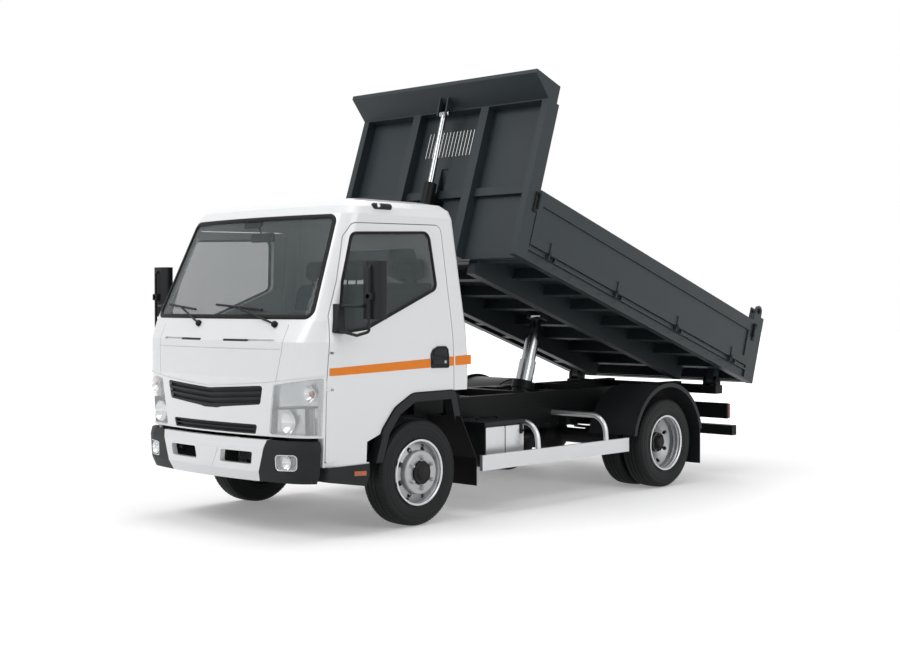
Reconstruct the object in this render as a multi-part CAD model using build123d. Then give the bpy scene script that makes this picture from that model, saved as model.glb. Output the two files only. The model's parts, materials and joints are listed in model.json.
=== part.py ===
from build123d import *
from math import atan2, cos, hypot, radians, sin, sqrt
import os

# Forward-control tipper truck, parked with its load body part raised.
# All sizes are millimetres. X points forward, Y to the truck's left, Z up.
# The model is worked out with x = 0 over the front axle, and place() moves it
# so that the origin lies on the ground below the middle of the whole truck.

os.makedirs("parts", exist_ok=True)

# Stance
FRONT_AXLE_X = 1705
WHEELBASE = 2850

# Tyres, wheels and axles
TYRE_RADIUS = 376
TYRE_WIDTH = 205
TREAD_CROWN = 4
BEAD_HALF = 69
RIM_RADIUS = 222
RIM_WALL = 9
FRONT_TYRE_OUTER_Y = 967
TWIN_OUTER_Y = 1074
TWIN_PITCH = 233
FRONT_DISC_RISE = 38
HUB_RADIUS = 80
FRONT_STUB = 22
REAR_STUB = 38
BRAKE_RADIUS = 150
KING_PIN_Y = 690
KING_PIN_RADIUS = 17
AXLE_BEAM_HEIGHT = 80
AXLE_BEAM_WIDTH = 90
AXLE_DROP = 70
STEER_ARM = 150
TIE_ROD_RADIUS = 14
AXLE_TUBE_RADIUS = 65
DIFF_RADIUS = 165
DIFF_Y = -185
DIFF_NOSE = 270

# Ladder frame
RAIL_OUTER_Y = 420
RAIL_FLANGE = 65
RAIL_HEIGHT = 200
RAIL_WALL = 8
RAIL_TOP = 720
RAIL_FRONT = 860
RAIL_REAR = -3990
SUBFRAME_HEIGHT = 100
SUBFRAME_WIDTH = 70
SUBFRAME_FRONT = -490
CROSS_TUBE_RADIUS = 45
SPRING_WIDTH = 70
SPRING_LEAF = 11
SPRING_SEAT = 14
FIT = 0.3
RUNNING_GAP = 6

GEARBOX_END = -700
SHAFT_Z = 450

# Cab shell: outline at a few heights; the nose is an arc seen from above
NOSE_RADIUS = 3800
CAB_BACK_RADIUS = 60
CAB_WALL = 45
PANEL_GAP = 6
MIRROR_TUBE = 10
GLASS = 8
CAB_SECTIONS = (
    # height, nose x, half width, corner radius, back x
    (480, 1050, 955, 270, -520),
    (690, 1062, 965, 280, -520),
    (1060, 1080, 975, 280, -515),
    (1300, 1062, 972, 230, -505),
    (1440, 997, 955, 150, -500),
    (2160, 672, 865, 150, -462),
    (2215, 625, 842, 150, -452),
    (2255, 540, 790, 150, -415),
    (2280, 400, 660, 150, -320),
)
CAB_FLOOR_UNDER = 935
CAB_FLOOR = 965
FOOT_FLOOR_UNDER = 770
FOOT_FLOOR = 800
STEP_FLOOR = 525
CAB_CEILING = 2235
ROOF_SEAM = 2165
HUMP_HALF = 330
CAB_REAR_LOWER_X = 425
WHEEL_Y = 420
COLUMN_TOP = (478, WHEEL_Y, 1380)
COLUMN_END = (625, WHEEL_Y, 1168)
COLUMN_RADIUS = 24
CAB_TILT_X = 960
CAB_TILT_Z = 800

# Side view outlines on the cab: x, z and corner radius
DOOR_OUTLINE = (
    (845, 492, 25), (850, 1056, 0), (822, 1470, 0), (719, 1710, 0), (618, 2004, 0),
    (540, 2098, 60), (-305, 2112, 60), (-327, 1533, 0), (-342, 935, 0),
)
ARCH_OUTLINE = (
    (440, 480, 0), (365, 700, 120), (250, 840, 120), (80, 932, 160), (-345, 935, 40),
    (-395, 740, 60), (-560, 430, 0), (-560, 200, 0), (440, 200, 0),
)
ARCH_TRIM_WIDTH = 60
DOOR_HINGE_X = 812
DOOR_HINGE_Y = 946
DOOR_HINGES = (990, 1230)
HINGE_PIN = 3
WINDOW_OUTLINE = (
    (770, 1352, 30), (688, 1700, 0), (560, 2030, 60), (-180, 2058, 60),
    (-212, 1655, 60), (500, 1380, 120),
)
# Front view outlines on the cab: y, z and corner radius, one half or both
SCREEN_OUTLINE = ((-862, 1452, 60), (862, 1452, 60), (774, 2152, 70), (-774, 2152, 70))
REAR_WINDOW = ((-520, 1500, 60), (520, 1500, 60), (500, 1960, 60), (-500, 1960, 60))
LAMP_OUTLINE = ((570, 686, 20), (592, 855, 0), (622, 1018, 20), (948, 1068, 20), (942, 686, 20))
UPPER_GRILLE = (
    (-500, 883, 20), (-120, 852, 0), (-75, 843, 0), (75, 843, 0), (120, 852, 0), (500, 883, 20),
    (530, 1010, 20), (0, 979, 0), (-530, 1010, 20),
)
LOWER_GRILLE = ((-448, 684, 15), (448, 684, 15), (466, 748, 15), (-466, 748, 15))
# Joints between the nose panels, as lines of y and z
PANEL_LINES = (
    ((-940, 1076), (-545, 1030), (0, 993), (545, 1030), (940, 1076)),
    ((-684, 1251), (684, 1251)),
    ((-645, 1035), (-684, 1251), (-690, 1412)),
    ((645, 1035), (684, 1251), (690, 1412)),
)
PANEL_LINE_WIDTH = 5
PANEL_LINE_DEPTH = 5
VENT_SLOTS = ((125, 610), (-610, -125))
VENT_Z = 1308
VENT_HEIGHT = 14
GRILLE_DEPTH = 30
LAMP_BACK_X = 862
TILT_HORN = (380, 412)

# Bumper: height, nose x, half width, corner radius
BUMPER_SECTIONS = (
    (372, 1062, 925, 250),
    (440, 1092, 950, 280),
    (600, 1100, 958, 280),
    (652, 1088, 955, 280),
)
BUMPER_WALL = 40
BUMPER_BACK_X = 880
BUMPER_WHITE = ((-480, 360, 0), (480, 360, 0), (577, 660, 0), (-577, 660, 0))
BUMPER_SLOT = ((130, 484, 14), (440, 484, 14), (455, 568, 14), (145, 568, 14))
BUMPER_PLATE = ((-50, 452, 18), (50, 452, 18), (118, 578, 12), (-118, 578, 12))
FOG_OUTLINE = ((652, 452, 24), (816, 458, 24), (822, 568, 24), (648, 562, 24))

# Load body: local u runs forward and v up from the tipping hinge
TIP_HINGE_X = -4000
TIP_HINGE_Z = 840
TIP_HINGE_Y = 780
TIP_ANGLE = 18.3
TIP_MOST = 45.0
BODY_HALF = 1020
BODY_TAIL = -318
FLOOR_TOP = 167
RAIL_UNDER = 67
FLOOR_PLATE = 8
SIDE_RAIL = 70
MAIN_BEAM_Y = 485
MAIN_BEAM_WIDTH = 80
MAIN_BEAM_UNDER = -35
MAIN_BEAM_START = 120
CROSS_BEAMS = 9
CROSS_BEAM_HALF = 30
HEAD_FRONT = 3152
HEAD_SHEET = 12
HEAD_RIB = 85
HEAD_FOOT_U = 3103
HEAD_POST_WIDTH = 60
HEAD_KNEE = 1321
HEAD_TOP = 1475
HEAD_LIP = 3429
HEAD_BACK = 3132
HEAD_BACK_TOP = 1463
LIP_BAND = 30
HOOD_SHEET = 8
RIB_Y = 376
RIB_WIDTH = 85
CROSS_RIB_V = 607
CROSS_RIB_HEIGHT = 66
CROSS_RIB_DEEP = 38
SLOT_COUNT = 15
SLOT_FIELD = 560
SLOT_LOW = 955
SLOT_HIGH = 1180
SLOT_WIDTH = 17
GATE_UNDER = 195
GATE_TOP = 626
GATE_THICK = 30
GATE_FRONT = 3097
GATE_REAR = -134
GATE_HINGE_Y = 1046
GATE_HINGE_V = 189
GATE_KNUCKLE = 30
GATE_PIN = 5
GATE_HINGES = 4
GATE_RIM = 55
POST_LONG = 165
POST_WIDE = 60
POST_TOP = 690
TAIL_PIN_U = -205
TAIL_PIN_V = 735
TAIL_PIN_RADIUS = 14
TAIL_PLATE = 34

# Tipping rams: pivots, and how far each stage is out in the parked pose
RAM_X = -2225
RAM_Z = 780
RAM_PIN_U = 1667
RAM_PIN_V = 82
RAM_RADII = (85, 72.5, 60, 47.5)
RAM_ABOVE = 100
RAM_BELOW = 430
RAM_STEP = 15
RAM_EYE_RADIUS = 28
RAM_EYE_WIDTH = 128
RAM_OUT = 172
RAM_BAY = 160
FRONT_RAM_X = -560
FRONT_RAM_Z = 600
FRONT_PIN_U = 3300
FRONT_PIN_V = 1262
FRONT_RAM_RADII = (60, 52.5, 23.5)
FRONT_BARREL = 1440
FRONT_RAM_OUT = 513
FRONT_EYE_RADIUS = 28
FRONT_EYE_HALF = 30
FRONT_TRUNNION = 20
CRADLE_Y = 85
# Recess in the headboard that the front ram swings into as the body rises
RECESS_HALF = 75
RECESS_TOP = 570
RECESS_SLOT_HALF = 38
RECESS_SLOT_TOP = 848
RECESS_BACK_U = 2930
RECESS_LEAN = 0.268
RECESS_WALL = 6
EAR = 14


# Helpers

def place(shape):
    """Move a piece from the front axle's frame to the truck's own origin."""
    return Pos(FRONT_AXLE_X, 0, 0) * shape


def save(shape, name):
    """Write one node as one STEP file."""
    solids = place(shape).solids()
    item = solids[0] if len(solids) == 1 else Compound(children=list(solids))
    item.label = name
    export_step(item, f"parts/{name}.step")


def block(x0, x1, y0, y1, z0, z1):
    """A box from its lowest to its highest corner."""
    return Pos((x0 + x1) / 2, (y0 + y1) / 2, (z0 + z1) / 2) * Box(x1 - x0, y1 - y0, z1 - z0)


def both_sides(shape):
    """The shape and its mirror image across the truck's middle plane."""
    return shape + mirror(shape, about=Plane.XZ)


def other_side(shape):
    return mirror(shape, about=Plane.XZ)


def rod(start, end, radius):
    """A round bar between two points."""
    a, b = Vector(*start), Vector(*end)
    way = b - a
    return extrude(Plane(a, z_dir=way) * Circle(radius), way.length)


def tube(start, end, outer, inner):
    bar = rod(start, end, outer)
    if inner <= 0:
        return bar
    way = (Vector(*end) - Vector(*start)).normalized()
    return bar - rod(Vector(*start) - way, Vector(*end) + way, inner)


def outline_face(corners):
    """A flat face from corners with a radius each."""
    points = [(a, b) for a, b, _ in corners]
    radii = [r for _, _, r in corners]
    return make_face(FilletPolyline(*points, radius=radii, close=True))


def side_prism(corners, y0, y1):
    """An outline in x and z, drawn out between two values of y."""
    return extrude(Plane.XZ.offset(-y1) * outline_face(corners), y1 - y0)


def front_prism(corners, x0, x1):
    """An outline in y and z, drawn out between two values of x."""
    return extrude(Plane.YZ.offset(x0) * outline_face(corners), x1 - x0)


def plan_prism(corners, z0, z1):
    """An outline in x and y, drawn out between two heights."""
    return extrude(Plane.XY.offset(z0) * outline_face(corners), z1 - z0)


def plain(points):
    """Corners with no rounding."""
    return [(a, b, 0) for a, b in points]


def shrink(corners, gap):
    """The outline moved inwards by a gap, as a flat face."""
    return offset(outline_face(corners), -gap)


def turned(centre, points):
    """A ring about the Y axis from points of y and radius with a bow each."""
    edges = []
    for index, (y, radius, bow) in enumerate(points):
        y2, radius2, _ = points[(index + 1) % len(points)]
        a, b = Vector(radius, y), Vector(radius2, y2)
        if bow == 0:
            edges.append(Line(a, b))
        else:
            normal = (b - a).rotate(Axis.Z, -90).normalized()
            edges.append(ThreePointArc(a, (a + b) * 0.5 + normal * bow, b))
    face = make_face(edges)
    ring = revolve(Plane.XY * face, Axis.Y)
    return Pos(*centre) * ring


# Cab outline

def plan_wire(z, nose, half, corner, back, inset, back_radius=CAB_BACK_RADIUS):
    """The cab's outline at one height, moved inwards by an inset."""
    radius = NOSE_RADIUS - inset
    half, corner = half - inset, corner - inset
    back, back_round = back + inset, max(back_radius - inset, 12)
    centre = nose - NOSE_RADIUS
    corner_y = half - corner
    corner_x = centre + sqrt((radius - corner) ** 2 - corner_y ** 2)
    reach = radius / (radius - corner)
    meet_x = centre + (corner_x - centre) * reach
    meet_y = corner_y * reach
    turn = radians(45) + atan2(corner_y, corner_x - centre) / 2
    mid_x, mid_y = corner_x + corner * cos(turn), corner_y + corner * sin(turn)
    slack = back_round * (1 - sqrt(0.5))

    def at(x, y):
        return Vector(x, y, z)

    edges = [
        ThreePointArc(at(meet_x, -meet_y), at(centre + radius, 0), at(meet_x, meet_y)),
        ThreePointArc(at(meet_x, meet_y), at(mid_x, mid_y), at(corner_x, half)),
        Line(at(corner_x, half), at(back + back_round, half)),
        ThreePointArc(at(back + back_round, half), at(back + slack, half - slack),
                      at(back, half - back_round)),
        Line(at(back, half - back_round), at(back, -half + back_round)),
        ThreePointArc(at(back, -half + back_round), at(back + slack, -half + slack),
                      at(back + back_round, -half)),
        Line(at(back + back_round, -half), at(corner_x, -half)),
        ThreePointArc(at(corner_x, -half), at(mid_x, -mid_y), at(meet_x, -meet_y)),
    ]
    return Face(Wire([edge.edges()[0] for edge in edges]))


def cab_form(inset):
    """The cab as one solid, moved inwards by an inset."""
    faces = [plan_wire(*section, inset) for section in CAB_SECTIONS]
    return Solid(loft(faces, ruled=True).solids()[0].wrapped)


def bumper_form(inset):
    faces = [plan_wire(z, nose, half, corner, 500, inset) for z, nose, half, corner in BUMPER_SECTIONS]
    return loft(faces, ruled=True)


# Cab

def arch_face(inset):
    return shrink(ARCH_OUTLINE, inset) if inset else outline_face(ARCH_OUTLINE)


def side_cut(face, y0, y1):
    return extrude(Plane.XZ.offset(-y1) * face, y1 - y0)


def make_cab_shell(outer, inner):
    """Floor on three levels, walls with the openings for doors and glass, and the roof."""
    shell = outer - (inner & block(-1000, 1300, -1200, 1200, CAB_FLOOR, CAB_CEILING))
    feet = block(CAB_REAR_LOWER_X + 30, 1300, HUMP_HALF + 30, 930, FOOT_FLOOR, CAB_FLOOR + 1)
    shell -= inner & both_sides(feet)
    shell -= both_sides(block(500, 830, 600, 930, STEP_FLOOR, FOOT_FLOOR + 1))
    shell -= block(-700, CAB_REAR_LOWER_X, -1200, 1200, 300, CAB_FLOOR_UNDER)
    shell -= inner & block(CAB_REAR_LOWER_X - 1, 1200, -570, 570, 300, FOOT_FLOOR_UNDER)
    shell -= block(CAB_REAR_LOWER_X - 1, 855, -570, 570, 300, FOOT_FLOOR_UNDER)
    shell -= block(CAB_REAR_LOWER_X - 1, 800, -HUMP_HALF, HUMP_HALF, 700, CAB_FLOOR_UNDER)
    shell -= block(855, 1300, -1200, 1200, 300, 674)
    shell -= block(300, 476, -1200, 1200, 300, 700)
    skin = outer - cab_form(CAB_WALL + 1)
    shell -= both_sides(skin & side_prism(DOOR_OUTLINE + ((-345, 480, 0),), 600, 1100))
    shell -= both_sides(side_prism(ARCH_OUTLINE, 570, 1100))
    shell -= front_prism(SCREEN_OUTLINE, 350, 1300)
    shell -= front_prism(REAR_WINDOW, -700, -300)
    shell -= both_sides(front_prism(LAMP_OUTLINE, LAMP_BACK_X, 1300))
    shell -= nose_lines(outer)
    shell -= front_prism(UPPER_GRILLE, 900, 1300)
    shell -= front_prism(LOWER_GRILLE, 900, 1300)
    horn_y = (TILT_HORN[0] - 10, TILT_HORN[1] + 10)
    pocket = block(795, 1012, horn_y[0] - 10, horn_y[1] + 10, FOOT_FLOOR_UNDER, 862)
    shell += both_sides(pocket & inner)
    shell -= both_sides(block(805, 1002, horn_y[0], horn_y[1], 700, 850))
    pin = rod((CAB_TILT_X, horn_y[0] - 1, CAB_TILT_Z), (CAB_TILT_X, horn_y[1] + 1, CAB_TILT_Z), 14)
    for z in DOOR_HINGES:
        pin += rod((DOOR_HINGE_X, DOOR_HINGE_Y, z - 14), (DOOR_HINGE_X, DOOR_HINGE_Y, z + 14), HINGE_PIN)
        pin += block(DOOR_HINGE_X, 860, DOOR_HINGE_Y - 14, DOOR_HINGE_Y, z - 5, z + 5)
    shell += both_sides(pin)
    pan = shell & inner & block(-700, 1300, -1200, 1200, 300, CAB_FLOOR + 1)
    roof = shell & block(-700, 1300, -1200, 1200, ROOF_SEAM, 2400)
    walls = shell - (inner & block(-700, 1300, -1200, 1200, 300, CAB_FLOOR + 1))
    return pan, walls - block(-700, 1300, -1200, 1200, ROOF_SEAM, 2400), roof


def nose_lines(outer):
    """Grooves between the nose panels and two slim vent slots below the windscreen."""
    half = PANEL_LINE_WIDTH / 2
    cuts = None
    for line in PANEL_LINES:
        for (y0, z0), (y1, z1) in zip(line, line[1:]):
            length = hypot(y1 - y0, z1 - z0)
            sy, sz = (z1 - z0) / length * half, (y1 - y0) / length * half
            strip = front_prism(plain(((y0 - sy, z0 + sz), (y0 + sy, z0 - sz), (y1 + sy, z1 - sz),
                                       (y1 - sy, z1 + sz))), 862, 1300)
            cuts = strip if cuts is None else cuts + strip
    grooves = cuts & (outer - cab_form(PANEL_LINE_DEPTH))
    for low, high in VENT_SLOTS:
        slot = block(900, 1300, low, high, VENT_Z - VENT_HEIGHT / 2, VENT_Z + VENT_HEIGHT / 2)
        grooves += slot & (outer - cab_form(14))
    return grooves


def make_door(outer, inner):
    """Left door: skin as thick as the whole door, window cut, arch followed."""
    gap = PANEL_GAP
    blank = side_cut(shrink(DOOR_OUTLINE, gap), 650, 1100)
    door = (outer - inner) & blank
    door -= side_cut(offset(outline_face(ARCH_OUTLINE), gap), 600, 1100)
    door -= side_prism(WINDOW_OUTLINE, 600, 1100)
    door -= block(DOOR_HINGE_X - 27, 860, 700, DOOR_HINGE_Y - 38, 480, CAB_FLOOR)
    for z in DOOR_HINGES:
        door -= block(DOOR_HINGE_X - 14, 860, DOOR_HINGE_Y - 22, 1000, z - 8, z + 8)
        for low, high in ((z - 17, z - 8), (z + 8, z + 17)):
            door += rod((DOOR_HINGE_X, DOOR_HINGE_Y, low), (DOOR_HINGE_X, DOOR_HINGE_Y, high), HINGE_PIN + 3)
        door -= rod((DOOR_HINGE_X, DOOR_HINGE_Y, z - 18), (DOOR_HINGE_X, DOOR_HINGE_Y, z + 18), HINGE_PIN + FIT)
    return door


def make_door_glass(outer_glass, inner_glass):
    return (outer_glass - inner_glass) & side_cut(shrink(WINDOW_OUTLINE, FIT), 650, 1100)


def make_mirror(skin):
    """Mirror head on a bracket at the door's front corner, held by two bent tubes."""
    head = plan_prism(((598, 1084, 18), (652, 1084, 22), (676, 1140, 40), (672, 1240, 40), (640, 1262, 20),
                       (598, 1262, 12)), 1450, 1828)
    bracket = side_prism(((722, 1352, 12), (808, 1362, 12), (774, 1552, 12), (732, 1548, 12)), 900, 992) - skin
    upper = FilletPolyline((755, 985, 1536), (712, 1120, 1536), (625, 1150, 1536), radius=20)
    lower = FilletPolyline((780, 985, 1378), (730, 1110, 1345), (692, 1185, 1370), (692, 1185, 1790),
                           (640, 1185, 1800), radius=22)
    for path in (upper, lower):
        bracket += sweep(Plane(path @ 0, z_dir=path % 0) * Circle(MIRROR_TUBE), path)
    return head + bracket


def make_lower_trim():
    """Dark flare round the arch and the step below the door, one side."""
    flare = side_cut(arch_face(FIT) - arch_face(ARCH_TRIM_WIDTH), 905, 985)
    flare &= block(-420, 500, 900, 990, 480, 1000)
    flare -= block(-500, -340, 900, 990, 300, 750)
    room = rod((0, 700, TYRE_RADIUS), (0, FRONT_TYRE_OUTER_Y + 8, TYRE_RADIUS), TYRE_RADIUS + 8)
    pin = Axis((0, KING_PIN_Y, 0), (0, 0, 1))
    flare -= [room.rotate(pin, turn) for turn in range(-32, 33, 4)]
    top = CAB_SECTIONS[0][0] - FIT
    step = side_prism(plain(((845, top), (845, 384), (510, 330), (478, 400), (478, top))), 760, 962)
    return flare + step


def make_grilles():
    """Slatted grilles set into the nose, upper and lower."""
    room = cab_form(4) - cab_form(GRILLE_DEPTH)
    upper = extrude(Plane.YZ.offset(900) * shrink(UPPER_GRILLE, FIT), 400)
    lower = extrude(Plane.YZ.offset(900) * shrink(LOWER_GRILLE, FIT), 400)
    plates = room & (upper + lower)
    gaps = []
    for low in (868, 906, 944):
        bar = ((-560, low + 30), (0, low), (560, low + 30), (560, low + 52), (0, low + 22), (-560, low + 52))
        gaps.append(front_prism(plain(bar), 900, 1300) - cab_form(GRILLE_DEPTH - 6) & upper)
    gaps.append(front_prism(plain(((-430, 694), (430, 694), (440, 712), (-440, 712))), 900, 1300))
    gaps.append(front_prism(plain(((-440, 720), (440, 720), (450, 738), (-450, 738))), 900, 1300))
    back = cab_form(GRILLE_DEPTH - 6)
    for gap in gaps:
        plates -= gap - back
    return plates


def nose_front(z):
    """Where the nose is at a height, on the middle plane."""
    for low, high in zip(CAB_SECTIONS, CAB_SECTIONS[1:]):
        if low[0] <= z <= high[0]:
            share = (z - low[0]) / (high[0] - low[0])
            return low[1] + (high[1] - low[1]) * share
    return CAB_SECTIONS[0][1]


def on_nose(y, z, out):
    """A point in front of the nose or windscreen, a little out from its surface."""
    return (nose_front(z) - y ** 2 / (2 * NOSE_RADIUS) + out, y, z)


def make_headlamps(deep):
    skin = cab_form(3) - deep
    lamp = skin & extrude(Plane.YZ.offset(LAMP_BACK_X + FIT) * shrink(LAMP_OUTLINE, FIT), 400)
    return both_sides(lamp)


def make_dashboard():
    """Shelf below the windscreen with a raised binnacle in front of the driver."""
    shape = side_prism(((1100, 1120, 0), (620, 1160, 30), (590, 1330, 40), (760, 1400, 40), (1100, 1400, 0)),
                       -870, 870)
    hood = side_prism(((800, 1380, 10), (600, 1320, 10), (590, 1400, 30), (760, 1430, 20)), 220, 620)
    dash = (shape + hood) & cab_form(CAB_WALL + FIT)
    return dash - rod(COLUMN_TOP, COLUMN_END, COLUMN_RADIUS + FIT)


def make_seats():
    """Driver's seat and a double bench, cushions and backs joined."""
    seats = None
    for low, high in ((180, 760), (-760, 60)):
        cushion = side_prism(((-300, CAB_FLOOR + FIT, 10), (230, CAB_FLOOR + FIT, 40), (260, 1090, 50),
                              (-200, 1100, 30), (-300, 1700, 60), (-420, 1700, 50)), low, high)
        seats = cushion if seats is None else seats + cushion
    return seats


def make_steering_wheel():
    """Rim, spokes and column, tilted as in a forward-control cab."""
    lean = 35
    rim = Torus(205, 14)
    hub = Cylinder(38, 34)
    spokes = Box(400, 26, 12) + Box(26, 400, 12)
    wheel = Pos(470, WHEEL_Y, 1390) * (Rot(0, -lean + 5, 0) * (rim + hub + spokes))
    column = rod(COLUMN_TOP, (605, WHEEL_Y, 1197), COLUMN_RADIUS)
    return wheel + column


def make_wipers(skin):
    """Two wipers parked along the foot of the windscreen."""
    result = None
    for pivot_y, left_y, right_y in ((573, 422, -68), (-209, -305, -718)):
        base = rod(on_nose(pivot_y, 1418, -25), on_nose(pivot_y, 1418, 24), 13)
        arm = rod(on_nose(pivot_y, 1420, 18), on_nose((left_y + right_y) / 2, 1524, 14), 7)
        blade = rod(on_nose(left_y, 1512, 13), on_nose(right_y, 1545, 13), 8)
        wiper = base + arm + blade
        result = wiper if result is None else result + wiper
    return result - skin


def make_roof_lamps(skin):
    """Side marker lamps on the roof's shoulder."""
    lamp = rod((165, 838, 2216), (325, 838, 2216), 23)
    return both_sides(lamp - skin)


# Bumper

def make_bumper():
    """Hollow bumper, split in a white middle and dark ends."""
    shell = bumper_form(0) - bumper_form(BUMPER_WALL)
    shell &= block(BUMPER_BACK_X, 1300, -1200, 1200, 300, 700)
    middle = shell & front_prism(BUMPER_WHITE, 800, 1300)
    middle += (bumper_form(-4) - bumper_form(10)) & front_prism(BUMPER_PLATE, 1000, 1300)
    middle -= both_sides(front_prism(BUMPER_SLOT, 900, 1300))
    ends = shell - extrude(Plane.YZ.offset(800) * offset(outline_face(BUMPER_WHITE), FIT), 500)
    ends -= both_sides(front_prism(FOG_OUTLINE, 880, 1300))
    return middle, ends


def make_fog_lamps():
    """Lamps set back a little in the openings of the bumper's ends."""
    room = bumper_form(10) - bumper_form(BUMPER_WALL + 20)
    return both_sides(room & extrude(Plane.YZ.offset(880) * shrink(FOG_OUTLINE, FIT), 400))


# Chassis

def make_frame():
    """Ladder frame of two channels with cross members, lamp bar and underrun bar."""
    low = RAIL_TOP - RAIL_HEIGHT
    inner = RAIL_OUTER_Y - RAIL_FLANGE
    rail = block(RAIL_REAR, RAIL_FRONT, inner, RAIL_OUTER_Y, low, RAIL_TOP)
    rail -= block(RAIL_REAR - 1, RAIL_FRONT + 1, inner - 1, RAIL_OUTER_Y - RAIL_WALL,
                  low + RAIL_WALL, RAIL_TOP - RAIL_WALL)
    frame = both_sides(rail)
    web = RAIL_OUTER_Y - RAIL_WALL + 1
    for x, z in ((815, 600), (-900, 620), (-1750, 640), (-3350, 620), (-3900, 620)):
        frame += rod((x, -web, z), (x, web, z), CROSS_TUBE_RADIUS)
    horn = side_prism(plain(((770, 640), (838, 600), (905, 720), (960, 768), (992, 800), (975, 832),
                             (940, 830), (860, 770), (770, RAIL_TOP))), *TILT_HORN)
    horn -= rod((CAB_TILT_X, 300, CAB_TILT_Z), (CAB_TILT_X, 500, CAB_TILT_Z), 15)
    frame += both_sides(horn)
    bumper_arm = block(RAIL_FRONT - 60, 1200, 370, 412, 530, 590) & bumper_form(BUMPER_WALL + FIT)
    frame += both_sides(bumper_arm)
    drop = block(-4060, -3960, 372, 412, 345, 700)
    frame += both_sides(drop)
    frame += side_prism(plain(((-4070, 350), (-4000, 350), (-4000, 441), (-4070, 441))), -1000, 1000)
    frame += block(-4020, -3990, -950, 950, 500, 640)
    return frame


def make_subframe():
    """Tipping subframe with the rams' cradles and the rear hinge beam."""
    low, high = RAIL_TOP + FIT, RAIL_TOP + SUBFRAME_HEIGHT
    side = block(-4050, SUBFRAME_FRONT, RAIL_OUTER_Y - SUBFRAME_WIDTH, RAIL_OUTER_Y, low, high)
    frame = both_sides(side)
    reach = RAIL_OUTER_Y - 5
    for x in (-1150, -1900, -2950):
        frame += block(x - 40, x + 40, -reach, reach, low + 10, high)
    rear = block(-4055, -3945, -860, 860, low + 2, high - 20)
    frame += rear
    for y in (TIP_HINGE_Y - 55, TIP_HINGE_Y + 55):
        ear = block(-4040, -3960, y - 14, y + 14, 770, TIP_HINGE_Z)
        ear += rod((TIP_HINGE_X, y - 14, TIP_HINGE_Z), (TIP_HINGE_X, y + 14, TIP_HINGE_Z), 40)
        frame += both_sides(ear)
    pin = rod((TIP_HINGE_X, TIP_HINGE_Y - 75, TIP_HINGE_Z), (TIP_HINGE_X, TIP_HINGE_Y + 75, TIP_HINGE_Z), 15)
    frame += both_sides(pin)
    bearing = block(RAM_X - 60, RAM_X + 60, 230, reach, RAM_Z - 55, high)
    bearing -= rod((RAM_X, 200, RAM_Z), (RAM_X, 330, RAM_Z), 26)
    frame += both_sides(bearing)
    cradle = block(FRONT_RAM_X - 50, FRONT_RAM_X + 50, CRADLE_Y, CRADLE_Y + 16, FRONT_RAM_Z - 50, high)
    cradle += block(FRONT_RAM_X - 50, FRONT_RAM_X + 50, CRADLE_Y, reach, low + 10, high)
    cradle -= rod((FRONT_RAM_X, 50, FRONT_RAM_Z), (FRONT_RAM_X, 150, FRONT_RAM_Z), FRONT_TRUNNION + 1)
    return frame + both_sides(cradle)


def make_front_axle():
    """Drop-centre beam with a fork for each king pin."""
    drop_z = TYRE_RADIUS - AXLE_DROP
    half_h, half_w = AXLE_BEAM_HEIGHT / 2, AXLE_BEAM_WIDTH / 2
    outline = plain((
        (-KING_PIN_Y + 26, TYRE_RADIUS - half_h), (-345, TYRE_RADIUS - half_h), (-255, drop_z - half_h),
        (255, drop_z - half_h), (345, TYRE_RADIUS - half_h), (KING_PIN_Y - 26, TYRE_RADIUS - half_h),
        (KING_PIN_Y - 26, TYRE_RADIUS + half_h), (345, TYRE_RADIUS + half_h), (255, drop_z + half_h),
        (-255, drop_z + half_h), (-345, TYRE_RADIUS + half_h), (-KING_PIN_Y + 26, TYRE_RADIUS + half_h)))
    beam = front_prism(outline, -half_w, half_w)
    beam -= block(14, half_w + 1, -245, 245, drop_z - half_h + 14, drop_z + half_h - 14)
    beam -= block(-half_w - 1, -14, -245, 245, drop_z - half_h + 14, drop_z + half_h - 14)
    boss = rod((0, KING_PIN_Y, TYRE_RADIUS - half_h), (0, KING_PIN_Y, TYRE_RADIUS + half_h), 34)
    boss += block(-30, 30, KING_PIN_Y - 40, KING_PIN_Y, TYRE_RADIUS - half_h, TYRE_RADIUS + half_h)
    beam += both_sides(boss)
    pin = rod((0, KING_PIN_Y, TYRE_RADIUS - 95), (0, KING_PIN_Y, TYRE_RADIUS + 95), KING_PIN_RADIUS)
    return beam + both_sides(pin)


def make_knuckle():
    """Left knuckle: fork over the king pin, stub axle, brake disc and steering arm."""
    half_h = AXLE_BEAM_HEIGHT / 2
    y0 = KING_PIN_Y
    fork = block(-32, 32, y0 - 30, y0 + 60, TYRE_RADIUS - 88, TYRE_RADIUS - half_h - RUNNING_GAP)
    fork += block(-32, 32, y0 - 30, y0 + 60, TYRE_RADIUS + half_h + RUNNING_GAP, TYRE_RADIUS + 88)
    fork += block(-32, 32, y0 + 41, y0 + 62, TYRE_RADIUS - 88, TYRE_RADIUS + 88)
    fork -= rod((0, y0, TYRE_RADIUS - 120), (0, y0, TYRE_RADIUS + 120), KING_PIN_RADIUS + 1)
    stub = rod((0, y0 + 60, TYRE_RADIUS), (0, FRONT_TYRE_OUTER_Y - 60, TYRE_RADIUS), FRONT_STUB)
    disc = tube((0, y0 + 70, TYRE_RADIUS), (0, y0 + 92, TYRE_RADIUS), BRAKE_RADIUS, 0)
    arm = block(-STEER_ARM - 16, -20, y0 - 28, y0 - 4, TYRE_RADIUS - 88, TYRE_RADIUS - 62)
    return fork + stub + disc + arm


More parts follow.
